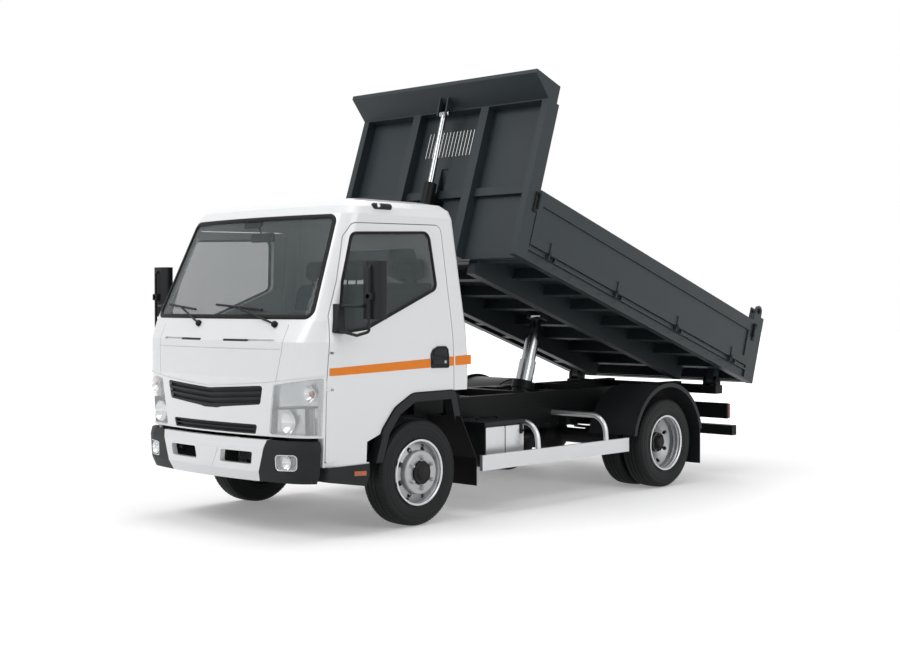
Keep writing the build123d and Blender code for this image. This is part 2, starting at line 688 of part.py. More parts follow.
def make_tie_rod():
    """Track rod behind the axle, between the two steering arms."""
    z = TYRE_RADIUS - 108
    y = KING_PIN_Y - 16
    bar = rod((-STEER_ARM, -y, z), (-STEER_ARM, y, z), TIE_ROD_RADIUS)
    for end in (-y, y):
        bar += rod((-STEER_ARM, end, z - 16), (-STEER_ARM, end, TYRE_RADIUS - 88 - FIT), 20)
    return bar


def make_rear_axle():
    """Banjo housing, two tubes and brake drums' back plates."""
    x, z = -WHEELBASE, TYRE_RADIUS
    axle = rod((x, -640, z), (x, 640, z), AXLE_TUBE_RADIUS)
    axle += Pos(x, DIFF_Y, z) * Sphere(DIFF_RADIUS)
    axle += rod((x + 100, DIFF_Y, z + 20), (x + DIFF_NOSE, DIFF_Y, z + 20), 62)
    for y in (1, -1):
        axle += rod((x, y * 560, z), (x, y * 622, z), BRAKE_RADIUS)
        axle += rod((x, y * 600, z), (x, y * (TWIN_OUTER_Y - 150), z), REAR_STUB)
    return axle


def spring_pack(x, y0, top, half, rise):
    """One bowed pack of leaves on its seat over the axle."""
    y1 = y0 + SPRING_WIDTH
    low = top + SPRING_SEAT
    pack = block(x - 60, x + 60, y0, y1, top + FIT, low + 6)
    for index, share in enumerate((0.45, 0.7, 1.0)):
        reach, lift = half * share, rise * share ** 2
        base = low + index * SPRING_LEAF
        over = base + SPRING_LEAF + 0.5
        under_line = ThreePointArc((x - reach, base + lift), (x, base), (x + reach, base + lift))
        over_line = ThreePointArc((x + reach, over + lift), (x, over), (x - reach, over + lift))
        face = make_face([under_line, Line(under_line @ 1, over_line @ 0), over_line,
                          Line(over_line @ 1, under_line @ 0)])
        pack += extrude(Plane.XZ.offset(-y1) * face, y1 - y0)
    return pack


def make_springs():
    """Leaf packs: the front ones below the rails, the rear ones beside them."""
    low = RAIL_TOP - RAIL_HEIGHT
    front_y = RAIL_OUTER_Y - SPRING_WIDTH
    packs = spring_pack(0, front_y, TYRE_RADIUS + AXLE_BEAM_HEIGHT / 2, 560, 48)
    for x in (-545, 545):
        packs += block(x - 18, x + 18, front_y, front_y + SPRING_WIDTH, 496, low - FIT)
    rear_y = RAIL_OUTER_Y + 6
    packs += spring_pack(-WHEELBASE, rear_y, TYRE_RADIUS + AXLE_TUBE_RADIUS, 620, 70)
    for x in (-WHEELBASE - 600, -WHEELBASE + 600):
        packs += block(x - 24, x + 24, RAIL_OUTER_Y + FIT, rear_y + SPRING_WIDTH, 538, 600)
    return both_sides(packs)


def make_engine():
    """Engine, bell housing and gearbox as plain blocks at their real place."""
    engine = block(-150, 620, -250, 250, 430, 900)
    engine += rod((-149, 0, 540), (-330, 0, 540), 170)
    return engine + block(GEARBOX_END, -325, -130, 130, 370, 535)


def make_driveshaft():
    """Shaft in two parts with a joint, led past the ram to the offset gear."""
    joint = (-1500, -120, 440)
    front = rod((GEARBOX_END - FIT, 0, SHAFT_Z), joint, 38)
    front -= block(GEARBOX_END - FIT, 0, -200, 200, 300, 600)
    end_x = -WHEELBASE + DIFF_NOSE + FIT
    rear = rod(joint, (end_x - 30, DIFF_Y, TYRE_RADIUS + 25), 42)
    rear -= block(end_x - 200, end_x, -400, 0, 200, 600)
    return front + rear + Pos(*joint) * Sphere(58)


def make_fuel_tank():
    tank = side_prism(((-2070, 340, 60), (-1330, 340, 60), (-1330, 640, 60), (-2070, 640, 60)), -900, -520)
    for x in (-1960, -1440):
        tank += block(x - 20, x + 20, -525, -RAIL_OUTER_Y - FIT, 560, 610)
    return tank


def make_battery_box():
    case = block(-1215, -770, 520, 880, 380, 641)
    lid = block(-1225, -760, 512, 890, 640, 668)
    for x in (-1130, -860):
        case += block(x - 20, x + 20, RAIL_OUTER_Y + FIT, 525, 560, 620)
    return case + lid


def make_muffler():
    body = rod((-1200, -640, 470), (-720, -640, 470), 105)
    tail = rod((-1199, -640, 470), (-1290, -640, 470), 32)
    arm = block(-980, -940, -640, -RAIL_OUTER_Y - FIT, 530, 565)
    return body + tail + arm


def make_side_guards():
    """Guard rail each side on two bent tubes that reach in to the frame."""
    rail = block(-2400, -600, 985, 1012, 335, 447)
    for x in (-1270, -2130):
        path = FilletPolyline((x, 985, 380), (x, 965, 640), (x, RAIL_OUTER_Y + FIT, 640), radius=140)
        rail += sweep(Plane(path @ 0, z_dir=path % 0) * Circle(21), path)
    return both_sides(rail)


def make_mudguards():
    """Rounded guard over each pair of rear wheels with a flap behind."""
    x, z = -WHEELBASE, TYRE_RADIUS
    outer, inner = 480, 470
    ring = rod((x, 612, z), (x, 1100, z), outer) - rod((x, 600, z), (x, 1110, z), inner)
    ring &= block(x - 600, x + 600, 600, 1110, z + 90, z + 600)
    flap = block(x - 480, x - 468, 640, 1095, 165, z + 96)
    lip = rod((x, 1090, z), (x, 1100, z), outer + 25) - rod((x, 1080, z), (x, 1110, z), inner)
    lip &= block(x - 600, x + 600, 1080, 1110, z + 90, z + 600)
    arm = block(x - 425, x - 395, RAIL_OUTER_Y + FIT, 640, z + 235, z + 265)
    arm += block(x + 395, x + 425, RAIL_OUTER_Y + FIT, 640, z + 235, z + 265)
    return both_sides(ring + flap + lip + arm)


def make_splash_guards():
    """Panel behind each front wheel with a flange that goes on from the arch."""
    path = plain(((-395, 742), (-403, 742), (-568, 430), (-568, 230), (-560, 230), (-560, 432)))
    panel = side_prism(path, 640, 985)
    arm = block(-560, -520, RAIL_OUTER_Y + FIT, 645, 560, 590)
    arm += block(-565, -490, 640, 700, 555, 595)
    return both_sides(panel + arm)


def make_tail_lamps():
    lamp = block(-4050, -4020 - FIT, 600, 950, 505, 635)
    return both_sides(lamp)


# Wheels

def make_tyre(outer_y):
    """Tyre with a crowned tread, bulged walls and beads on the rim."""
    side = TYRE_WIDTH / 2
    bead = RIM_RADIUS + FIT
    half = (
        (BEAD_HALF - 20, bead, 0),
        (BEAD_HALF, bead, 0),
        (BEAD_HALF, bead + 17, -8),
        (side - 2, TYRE_RADIUS - 86, -5),
        (side - 10, TYRE_RADIUS - 20, -4),
        (side - 34, TYRE_RADIUS - TREAD_CROWN, -TREAD_CROWN),
    )
    back = [(-y, radius, half[index - 1][2]) for index, (y, radius, _) in enumerate(half)][::-1]
    lining = [(-BEAD_HALF + 20, bead + 16, 0), (BEAD_HALF - 20, bead + 16, 0)]
    back[-1] = (back[-1][0], back[-1][1], 0)
    return turned((0, outer_y - side, TYRE_RADIUS), list(half) + back + lining)


def rim_ring(centre_y, width):
    """Rolled rim with flanges, hollow inside."""
    half = width / 2
    r, w = RIM_RADIUS, RIM_WALL
    points = (
        (half, r + 14, 0), (half - 8, r + 14, 0), (half - 12, r, 0), (12 - half, r, 0), (8 - half, r + 14, 0),
        (-half, r + 14, 0), (-half, r + 4, 0), (14 - half, r - w, 0), (half - 14, r - w, 0), (half, r + 4, 0),
    )
    return turned((0, centre_y, TYRE_RADIUS), points)


def disc(centre_y, points, holes, hole_radius, hole_size):
    """Dished disc turned from a profile, with a ring of round hand holes."""
    plate = turned((0, centre_y, TYRE_RADIUS), points)
    cutters = []
    for index in range(holes):
        turn = radians(360 * (index + 0.5) / holes)
        x, z = hole_radius * cos(turn), TYRE_RADIUS + hole_radius * sin(turn)
        cutters.append(rod((x, centre_y - 150, z), (x, centre_y + 150, z), hole_size))
    return plate - cutters


def make_front_rim():
    """Left front wheel: the disc stands proud with a hub cap in the middle."""
    centre = FRONT_TYRE_OUTER_Y - TYRE_WIDTH / 2
    face = 60
    profile = (
        (face + FRONT_DISC_RISE, 46, 0), (face + FRONT_DISC_RISE, 105, 0), (face + 5, 150, 0),
        (face - 15, RIM_RADIUS - RIM_WALL + 1, 0), (face - 27, RIM_RADIUS - RIM_WALL + 1, 0),
        (face - 7, 146, 0), (face + FRONT_DISC_RISE - 12, 100, 0), (face + FRONT_DISC_RISE - 12, 46, 0),
    )
    wheel = rim_ring(centre, TYRE_WIDTH - 40) + disc(centre, profile, 8, 168, 20)
    hub_y = centre + face + FRONT_DISC_RISE
    hub = rod((0, KING_PIN_Y + 98, TYRE_RADIUS), (0, hub_y + 26, TYRE_RADIUS), HUB_RADIUS)
    hub -= rod((0, KING_PIN_Y + 90, TYRE_RADIUS), (0, FRONT_TYRE_OUTER_Y - 55, TYRE_RADIUS), FRONT_STUB + FIT)
    wheel += hub
    for index in range(6):
        turn = radians(60 * index + 30)
        x, z = 92 * cos(turn), TYRE_RADIUS + 92 * sin(turn)
        wheel += rod((x, hub_y - 6, z), (x, hub_y + 16, z), 14)
    return wheel


def make_rear_rims():
    """Left twin wheels on one hub: the outer disc is deeply dished."""
    outer = TWIN_OUTER_Y - TYRE_WIDTH / 2
    inner = outer - TWIN_PITCH
    meet = (outer + inner) / 2
    wheels = rim_ring(outer, TYRE_WIDTH - 40) + rim_ring(inner, TYRE_WIDTH - 40)
    for centre, sign in ((outer, -1), (inner, 1)):
        depth = abs(centre - meet)
        profile = [
            (sign * depth, 46, 0), (sign * depth, 110, 0), (sign * (depth - 60), 165, 0),
            (sign * 25, RIM_RADIUS - RIM_WALL + 1, 0), (sign * 12, RIM_RADIUS - RIM_WALL + 1, 0),
            (sign * (depth - 72), 160, 0), (sign * (depth - 11), 104, 0), (sign * (depth - 11), 46, 0),
        ]
        wheels += disc(centre, profile, 8, 178, 18)
    hub = rod((0, 650, TYRE_RADIUS), (0, outer + 20, TYRE_RADIUS), HUB_RADIUS)
    hub -= rod((0, 640, TYRE_RADIUS), (0, TWIN_OUTER_Y - 145, TYRE_RADIUS), REAR_STUB + FIT)
    wheels += hub
    return Pos(-WHEELBASE, 0, 0) * wheels


def make_rear_tyres():
    outer = make_tyre(TWIN_OUTER_Y)
    inner = make_tyre(TWIN_OUTER_Y - TWIN_PITCH)
    return Pos(-WHEELBASE, 0, 0) * (outer + inner)


# Load body, drawn level and then tipped about its hinge

def tipped(shape):
    """From the body's own level frame to its parked, part raised pose."""
    return Pos(TIP_HINGE_X, 0, TIP_HINGE_Z) * (Rot(0, -TIP_ANGLE, 0) * shape)


def tipped_point(u, v, y=0.0):
    turn = radians(TIP_ANGLE)
    return (TIP_HINGE_X + u * cos(turn) - v * sin(turn), y, TIP_HINGE_Z + u * sin(turn) + v * cos(turn))


def recess(half, top, grow, low, front):
    """The room the front ram swings into, its back leaning with the ram."""
    def back(v):
        return RECESS_BACK_U - grow + RECESS_LEAN * (v - RAIL_UNDER)

    top += grow
    corners = plain(((back(low), low), (front, low), (front, top), (back(top), top)))
    return side_prism(corners, -half - grow, half + grow)


def make_body_floor():
    """Floor plate, and under it side rails, two main beams, cross beams and tail posts."""
    front = HEAD_FOOT_U - FIT
    under = FLOOR_TOP - FLOOR_PLATE
    tail = BODY_TAIL + 40
    posts = both_sides(make_tail_post())
    wall = RECESS_WALL + FIT
    room = recess(RECESS_HALF, RECESS_TOP, wall, -200, HEAD_FRONT + 100)
    plate = block(tail, front, -BODY_HALF, BODY_HALF, under, FLOOR_TOP) - posts - room
    side = block(tail, front, BODY_HALF - SIDE_RAIL, BODY_HALF, RAIL_UNDER, under)
    side -= block(tail - 10, front + 10, BODY_HALF - 16, BODY_HALF + 1, RAIL_UNDER + 16, FLOOR_TOP - 16)
    beams = both_sides(side)
    beams += both_sides(block(MAIN_BEAM_START, front, MAIN_BEAM_Y - MAIN_BEAM_WIDTH / 2,
                              MAIN_BEAM_Y + MAIN_BEAM_WIDTH / 2, MAIN_BEAM_UNDER, under))
    start, end = BODY_TAIL + 90, front - 60
    for index in range(CROSS_BEAMS):
        u = start + (end - start) * index / (CROSS_BEAMS - 1)
        if abs(u - RAM_PIN_U) < RAM_BAY:
            u = RAM_PIN_U + RAM_BAY + CROSS_BEAM_HALF
        beams += block(u - CROSS_BEAM_HALF, u + CROSS_BEAM_HALF, -BODY_HALF + 20, BODY_HALF - 20,
                       RAIL_UNDER + 8, under)
    lug = rod((0, TIP_HINGE_Y - 36, 0), (0, TIP_HINGE_Y + 36, 0), 38)
    lug += block(-38, 38, TIP_HINGE_Y - 36, TIP_HINGE_Y + 36, 0, under)
    lug -= rod((0, TIP_HINGE_Y - 60, 0), (0, TIP_HINGE_Y + 60, 0), 16)
    beams += both_sides(lug)
    ear_y = RAM_EYE_WIDTH / 2 + 4
    beams += both_sides(block(RAM_PIN_U - 45, RAM_PIN_U + 45, ear_y, ear_y + EAR, RAM_PIN_V - 30, under))
    beams += both_sides(block(tail, tail + 50, 0, BODY_HALF - 20, RAIL_UNDER, under))
    beams += posts
    for u in gate_hinges():
        beams += both_sides(gate_lugs(u))
    return tipped(plate), tipped(beams - room)


def gate_lugs(u):
    """Pin and two lugs that carry one hinge of the left gate."""
    pin = rod((u - GATE_KNUCKLE - 4, GATE_HINGE_Y, GATE_HINGE_V),
              (u + GATE_KNUCKLE + 4, GATE_HINGE_Y, GATE_HINGE_V), GATE_PIN)
    for low in (u - GATE_KNUCKLE - 15, u + GATE_KNUCKLE + 3):
        pin += rod((low, GATE_HINGE_Y, GATE_HINGE_V), (low + 12, GATE_HINGE_Y, GATE_HINGE_V), 11)
        pin += block(low, low + 12, BODY_HALF, GATE_HINGE_Y, GATE_HINGE_V - 37, GATE_HINGE_V - 2)
        pin += block(low, low + 12, BODY_HALF - 17, BODY_HALF + 1, GATE_HINGE_V - 37, FLOOR_TOP - FLOOR_PLATE)
    return pin


def make_tail_post():
    """Left rear post with the ear that carries the tailgate."""
    post = block(BODY_TAIL + 13, BODY_TAIL + 13 + POST_LONG, BODY_HALF - POST_WIDE, BODY_HALF, RAIL_UNDER, POST_TOP)
    ear = block(TAIL_PIN_U - 50, TAIL_PIN_U + 50, BODY_HALF - 20, BODY_HALF, POST_TOP - 60, TAIL_PIN_V)
    ear += rod((TAIL_PIN_U, BODY_HALF - 20, TAIL_PIN_V), (TAIL_PIN_U, BODY_HALF, TAIL_PIN_V), 50)
    ear += rod((TAIL_PIN_U, BODY_HALF - 80, TAIL_PIN_V), (TAIL_PIN_U, BODY_HALF - 19, TAIL_PIN_V), TAIL_PIN_RADIUS)
    return post + ear


def gate_hinges():
    """Where along the body each side gate's hinges sit."""
    length = GATE_FRONT - GATE_REAR
    return [GATE_REAR + length * (0.08 + 0.84 * index / (GATE_HINGES - 1)) for index in range(GATE_HINGES)]


def make_headboard():
    """Front wall with side posts, ribs, a slotted window and a hood over the cab."""
    back = HEAD_FRONT - HEAD_SHEET
    rib_face = HEAD_FRONT + HEAD_RIB
    wall = block(back, HEAD_FRONT, -BODY_HALF, BODY_HALF, RAIL_UNDER, HEAD_KNEE)
    wall += block(HEAD_FOOT_U, HEAD_FRONT, -BODY_HALF, BODY_HALF, RAIL_UNDER, FLOOR_TOP)
    for y in (-RIB_Y, RIB_Y):
        wall += block(HEAD_FRONT - 1, rib_face, y - RIB_WIDTH / 2, y + RIB_WIDTH / 2, RAIL_UNDER, HEAD_KNEE + 1)
    wall += block(HEAD_FRONT - 1, HEAD_FRONT + CROSS_RIB_DEEP, -BODY_HALF, BODY_HALF,
                  CROSS_RIB_V - CROSS_RIB_HEIGHT / 2, CROSS_RIB_V + CROSS_RIB_HEIGHT / 2)
    wall += both_sides(block(HEAD_FOOT_U, rib_face, BODY_HALF - HEAD_POST_WIDTH, BODY_HALF, RAIL_UNDER, HEAD_KNEE))
    hood = outline_face(plain(((back, HEAD_KNEE - HOOD_SHEET), (rib_face, HEAD_KNEE - HOOD_SHEET), (rib_face, HEAD_KNEE),
                               (HEAD_LIP, HEAD_TOP - LIP_BAND), (HEAD_LIP, HEAD_TOP),
                               (HEAD_BACK, HEAD_BACK_TOP), (HEAD_BACK, HEAD_KNEE - HOOD_SHEET))))
    wall += side_cut(hood, -BODY_HALF, BODY_HALF)
    wall -= side_cut(offset(hood, -HOOD_SHEET), -BODY_HALF + 12, BODY_HALF - 12)
    pitch = SLOT_FIELD / SLOT_COUNT
    slots = []
    for index in range(SLOT_COUNT):
        y = (index - (SLOT_COUNT - 1) / 2) * pitch
        slots.append(block(back - 5, HEAD_FRONT + 5, y - SLOT_WIDTH / 2, y + SLOT_WIDTH / 2, SLOT_LOW, SLOT_HIGH))
    wall -= slots
    rooms = ((RECESS_HALF, RECESS_TOP), (RECESS_SLOT_HALF, RECESS_SLOT_TOP))
    for half, top in rooms:
        wall += recess(half, top, RECESS_WALL, RAIL_UNDER, HEAD_FRONT)
    for half, top in rooms:
        wall -= recess(half, top, 0, -200, HEAD_FRONT + 150)
    ear = side_prism(plain(((3268, 1350), (3268, 1238), (3332, 1238), (3345, 1396))),
                     FRONT_EYE_HALF + 8, FRONT_EYE_HALF + 8 + EAR)
    return tipped(wall + both_sides(ear))


def make_side_gate():
    """Left drop side: pressed panel in a rim, with hinge knuckles below."""
    outer = BODY_HALF + 4
    gate = block(GATE_REAR, GATE_FRONT, outer - GATE_THICK, outer, GATE_UNDER, GATE_TOP)
    gate -= block(GATE_REAR + GATE_RIM, GATE_FRONT - GATE_RIM, outer - 12, outer + 1,
                  GATE_UNDER + GATE_RIM + 18, GATE_TOP - 110)
    for u in gate_hinges():
        gate += block(u - 25, u + 25, outer - 1, outer + 8, GATE_UNDER + 2, GATE_UNDER + 90)
        gate += rod((u - GATE_KNUCKLE, GATE_HINGE_Y, GATE_HINGE_V), (u + GATE_KNUCKLE, GATE_HINGE_Y, GATE_HINGE_V), 11)
        gate += block(u - 25, u + 25, outer - 1, GATE_HINGE_Y + 4, GATE_UNDER + 2, GATE_UNDER + 12)
        gate -= rod((u - 40, GATE_HINGE_Y, GATE_HINGE_V), (u + 40, GATE_HINGE_Y, GATE_HINGE_V), GATE_PIN + FIT)
    return tipped(gate)


def make_tailgate():
    """Rear gate hung from the post ears by two arms."""
    face = BODY_TAIL
    half = BODY_HALF - POST_WIDE - RUNNING_GAP
    gate = block(face, face + TAIL_PLATE, -half, half, RAIL_UNDER + 50, POST_TOP - 20)
    gate -= block(face - 1, face + 12, -half + 60, half - 60, RAIL_UNDER + 130, POST_TOP - 110)
    arm = block(face, TAIL_PIN_U + 30, half - 14, half, POST_TOP - 60, TAIL_PIN_V + 30)
    arm -= rod((TAIL_PIN_U, half - 30, TAIL_PIN_V), (TAIL_PIN_U, half + 10, TAIL_PIN_V), TAIL_PIN_RADIUS + 1)
    return tipped(gate + both_sides(arm))


# Rams

def ram_way(x, z, u, v):
    """Unit direction and length from a ram's foot to its pin on the body."""
    px, _, pz = tipped_point(u, v)
    length = hypot(px - x, pz - z)
    return (px - x) / length, (pz - z) / length, length


def along(x, z, way, distance):
    return (x + way[0] * distance, 0, z + way[1] * distance)


def nested(radii):
    """Outer and inner radius of each tube, the next one sliding in it; the last is solid."""
    return [(outer, inner + FIT) for outer, inner in zip(radii, radii[1:])] + [(radii[-1], 0)]


def make_ram():
    """Under-body ram: barrel on trunnions and three stages, eye at the top."""
    way = ram_way(RAM_X, RAM_Z, RAM_PIN_U, RAM_PIN_V)
    pieces = []
    for index, (outer, inner) in enumerate(nested(RAM_RADII)):
        out = RAM_OUT * index
        top = RAM_ABOVE + RAM_STEP * index + out
        low = -RAM_BELOW + RAM_STEP * index + out
        tube_ = tube(along(RAM_X, RAM_Z, way, low), along(RAM_X, RAM_Z, way, top), outer, inner)
        pieces.append(tube_)
    foot = tube(along(RAM_X, RAM_Z, way, -RAM_BELOW - 12), along(RAM_X, RAM_Z, way, -RAM_BELOW + 1), 85, 0)
    collar = tube(along(RAM_X, RAM_Z, way, 30), along(RAM_X, RAM_Z, way, RAM_ABOVE), 98, 80)
    trunnion = rod((RAM_X, 78, RAM_Z), (RAM_X, 300, RAM_Z), 25)
    pieces[0] = pieces[0] + foot + collar + both_sides(trunnion)
    end = along(RAM_X, RAM_Z, way, way[2])
    half = RAM_EYE_WIDTH / 2
    eye = rod((end[0], -half, end[2]), (end[0], half, end[2]), RAM_EYE_RADIUS)
    neck = rod(along(RAM_X, RAM_Z, way, way[2] - 60), end, 22)
    pieces[-1] = pieces[-1] + neck + eye
    return pieces


def make_front_ram():
    """Front ram behind the cab: barrel, one stage and the rod with its eye."""
    way = ram_way(FRONT_RAM_X, FRONT_RAM_Z, FRONT_PIN_U, FRONT_PIN_V)

    def at(distance):
        return along(FRONT_RAM_X, FRONT_RAM_Z, way, distance)

    pieces = []
    for index, (outer, inner) in enumerate(nested(FRONT_RAM_RADII)):
        out = FRONT_RAM_OUT * index
        top = FRONT_BARREL + RAM_STEP * 2 * index + out
        if inner == 0:
            top = way[2]
        pieces.append(tube(at(50 + RAM_STEP * index + out), at(top), outer, inner))
    foot = rod(at(0), at(52), FRONT_RAM_RADII[0])
    foot += rod((FRONT_RAM_X, -70, FRONT_RAM_Z), (FRONT_RAM_X, 70, FRONT_RAM_Z), 38)
    foot += rod((FRONT_RAM_X, -108, FRONT_RAM_Z), (FRONT_RAM_X, 108, FRONT_RAM_Z), FRONT_TRUNNION)
    pieces[0] = pieces[0] + foot
    end = at(way[2])
    eye = rod((end[0], -FRONT_EYE_HALF, end[2]), (end[0], FRONT_EYE_HALF, end[2]), FRONT_EYE_RADIUS)
    pieces[-1] = pieces[-1] + eye
    return pieces


def main():
    outer = cab_form(0)
    inner = cab_form(CAB_WALL)
    glass_outer, glass_inner = cab_form(6), cab_form(6 + GLASS)
    skin = glass_outer - glass_inner
    proud = cab_form(-FIT)
    for piece, name in zip(make_cab_shell(outer, inner), ("cab_floor", "cab_shell", "cab_roof")):
        save(piece, name)
    save(skin & extrude(Plane.YZ.offset(350) * shrink(SCREEN_OUTLINE, FIT), 900), "windscreen")
    save(skin & extrude(Plane.YZ.offset(-700) * shrink(REAR_WINDOW, FIT), 400), "rear_window")
    save(make_grilles(), "grilles")
    save(make_headlamps(cab_form(70)), "headlamps")
    save(make_dashboard(), "dashboard")
    save(make_seats(), "seats")
    save(make_steering_wheel(), "steering_wheel")
    save(make_wipers(proud), "wipers")
    save(make_roof_lamps(proud), "roof_lamps")
    save(both_sides(make_lower_trim()), "lower_trims")
    door = make_door(outer, inner)
    door_glass = make_door_glass(glass_outer, glass_inner)
    mirror_ = make_mirror(proud)
    for side, turn in (("left", lambda s: s), ("right", other_side)):
        save(turn(door), f"door_{side}")
        save(turn(door_glass), f"door_glass_{side}")
        save(turn(mirror_), f"mirror_{side}")

    middle, ends = make_bumper()
    save(middle, "bumper_middle")
    save(ends, "bumper_ends")
    save(make_fog_lamps(), "fog_lamps")
    save(make_frame(), "chassis_frame")
    save(make_subframe(), "subframe")
    save(make_front_axle(), "front_axle")
    save(make_rear_axle(), "rear_axle")
    save(make_springs(), "leaf_springs")
    save(make_engine(), "engine")
    save(make_driveshaft(), "driveshaft")
    save(make_fuel_tank(), "fuel_tank")
    save(make_battery_box(), "battery_box")
    save(make_muffler(), "muffler")
    save(make_side_guards(), "side_guards")
    save(make_mudguards(), "rear_mudguards")
    save(make_splash_guards(), "splash_guards")
    save(make_tail_lamps(), "tail_lamps")
    save(make_tie_rod(), "tie_rod")

    knuckle = make_knuckle()
    front_tyre, front_rim = make_tyre(FRONT_TYRE_OUTER_Y), make_front_rim()
    rear_tyres, rear_rims = make_rear_tyres(), make_rear_rims()
    for side, turn in (("left", lambda s: s), ("right", other_side)):
        save(turn(knuckle), f"knuckle_{side}")
        save(turn(front_tyre), f"tyre_front_{side}")
        save(turn(front_rim), f"rim_front_{side}")
        save(turn(rear_tyres), f"tyres_rear_{side}")
        save(turn(rear_rims), f"rims_rear_{side}")

    plate, beams = make_body_floor()
    save(plate, "body_floor")
    save(beams, "floor_beams")
    save(make_headboard(), "headboard")
    gate = make_side_gate()
    save(gate, "gate_left")
    save(other_side(gate), "gate_right")
    save(make_tailgate(), "tailgate")
    for name, piece in zip(("ram_barrel", "ram_stage_1", "ram_stage_2", "ram_stage_3"), make_ram()):
        save(piece, name)
    for name, piece in zip(("front_ram_barrel", "front_ram_stage", "front_ram_rod"), make_front_ram()):
        save(piece, name)


if __name__ == "__main__":
    main()
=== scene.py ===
import bmesh
import bpy
import json
import numpy as np
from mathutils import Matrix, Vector


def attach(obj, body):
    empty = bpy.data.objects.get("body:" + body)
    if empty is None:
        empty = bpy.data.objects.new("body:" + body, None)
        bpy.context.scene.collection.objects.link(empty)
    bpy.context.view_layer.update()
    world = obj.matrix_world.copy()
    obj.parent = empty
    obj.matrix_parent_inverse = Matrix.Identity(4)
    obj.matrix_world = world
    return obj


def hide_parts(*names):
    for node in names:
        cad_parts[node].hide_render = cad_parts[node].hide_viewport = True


# Light tipper truck with its cab over the engine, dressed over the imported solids.
# Lengths are metres in the truck's own frame: X forward, Y to its left, Z up.

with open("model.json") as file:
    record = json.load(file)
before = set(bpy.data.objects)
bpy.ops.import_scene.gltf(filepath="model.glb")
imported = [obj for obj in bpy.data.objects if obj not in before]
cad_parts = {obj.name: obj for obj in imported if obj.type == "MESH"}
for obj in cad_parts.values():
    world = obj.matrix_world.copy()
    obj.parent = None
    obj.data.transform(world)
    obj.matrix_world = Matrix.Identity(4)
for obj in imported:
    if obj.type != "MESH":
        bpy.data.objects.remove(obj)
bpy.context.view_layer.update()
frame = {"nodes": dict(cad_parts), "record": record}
NODES = frame["nodes"]

SIDES = (("left", 1), ("right", -1))
AXLE_X = 1.705
WHEELBASE = 2.85
NOSE_ARC = 3.8
# A tyre's radius, and so the height of the wheels' middles
TYRE_Z = 0.376
# The load body's hinge, and how far the body is raised at rest
TIP_PIVOT = np.array((-2.295, 0.0, 0.840))
TIP_TURN = np.radians(18.3)


# Materials

def node(tree, kind, **values):
    """A shader node with its properties and plain input values set."""
    made = tree.nodes.new(kind)
    for name, value in values.items():
        if name in made.inputs:
            made.inputs[name].default_value = value
        else:
            setattr(made, name, value)
    return made


def group(name, inputs, outputs):
    """An empty shader node group with named float or colour sockets."""
    tree = bpy.data.node_groups.new(name, "ShaderNodeTree")
    for label, kind, default in inputs:
        socket = tree.interface.new_socket(label, in_out="INPUT", socket_type=kind)
        socket.default_value = default
    for label, kind in outputs:
        tree.interface.new_socket(label, in_out="OUTPUT", socket_type=kind)
    return tree, tree.nodes.new("NodeGroupInput"), tree.nodes.new("NodeGroupOutput")


def drift_group():
    """Colour and roughness that drift a little over a surface, in broad soft patches."""
    tree, given, out = group("surface drift", (
        ("Color", "NodeSocketColor", (0.5, 0.5, 0.5, 1)), ("Roughness", "NodeSocketFloat", 0.5),
        ("Scale", "NodeSocketFloat", 3.0), ("Amount", "NodeSocketFloat", 0.05)),
        (("Color", "NodeSocketColor"), ("Roughness", "NodeSocketFloat")))
    place = tree.nodes.new("ShaderNodeTexCoord")
    noise = node(tree, "ShaderNodeTexNoise", Detail=4.0, Roughness=0.55)
    centre = node(tree, "ShaderNodeMath", operation="SUBTRACT")
    centre.inputs[1].default_value = 0.5
    scaled = node(tree, "ShaderNodeMath", operation="MULTIPLY")
    rough = node(tree, "ShaderNodeMath", operation="ADD")
    bright = node(tree, "ShaderNodeMath", operation="ADD")
    bright.inputs[1].default_value = 1.0
    tint = node(tree, "ShaderNodeHueSaturation")
    link = tree.links.new
    link(place.outputs["Object"], noise.inputs["Vector"])
    link(given.outputs["Scale"], noise.inputs["Scale"])
    link(noise.outputs["Fac"], centre.inputs[0])
    link(centre.outputs[0], scaled.inputs[0])
    link(given.outputs["Amount"], scaled.inputs[1])
    link(scaled.outputs[0], rough.inputs[0])
    link(given.outputs["Roughness"], rough.inputs[1])
    link(scaled.outputs[0], bright.inputs[0])
    link(bright.outputs[0], tint.inputs["Value"])
    link(given.outputs["Color"], tint.inputs["Color"])
    link(tint.outputs["Color"], out.inputs["Color"])
    link(rough.outputs[0], out.inputs["Roughness"])
    return tree


def grain_group():
    """A normal for fine moulded or cast grain."""
    tree, given, out = group("fine grain", (
        ("Scale", "NodeSocketFloat", 400.0), ("Strength", "NodeSocketFloat", 0.2)),
        (("Normal", "NodeSocketVector"),))
    place = tree.nodes.new("ShaderNodeTexCoord")
    noise = node(tree, "ShaderNodeTexNoise", Detail=2.0)
    bump = node(tree, "ShaderNodeBump", Distance=0.001)
    link = tree.links.new
    link(place.outputs["Object"], noise.inputs["Vector"])
    link(given.outputs["Scale"], noise.inputs["Scale"])
    link(noise.outputs["Fac"], bump.inputs["Height"])
    link(given.outputs["Strength"], bump.inputs["Strength"])
    link(bump.outputs["Normal"], out.inputs["Normal"])
    return tree


DRIFT = drift_group()
GRAIN = grain_group()


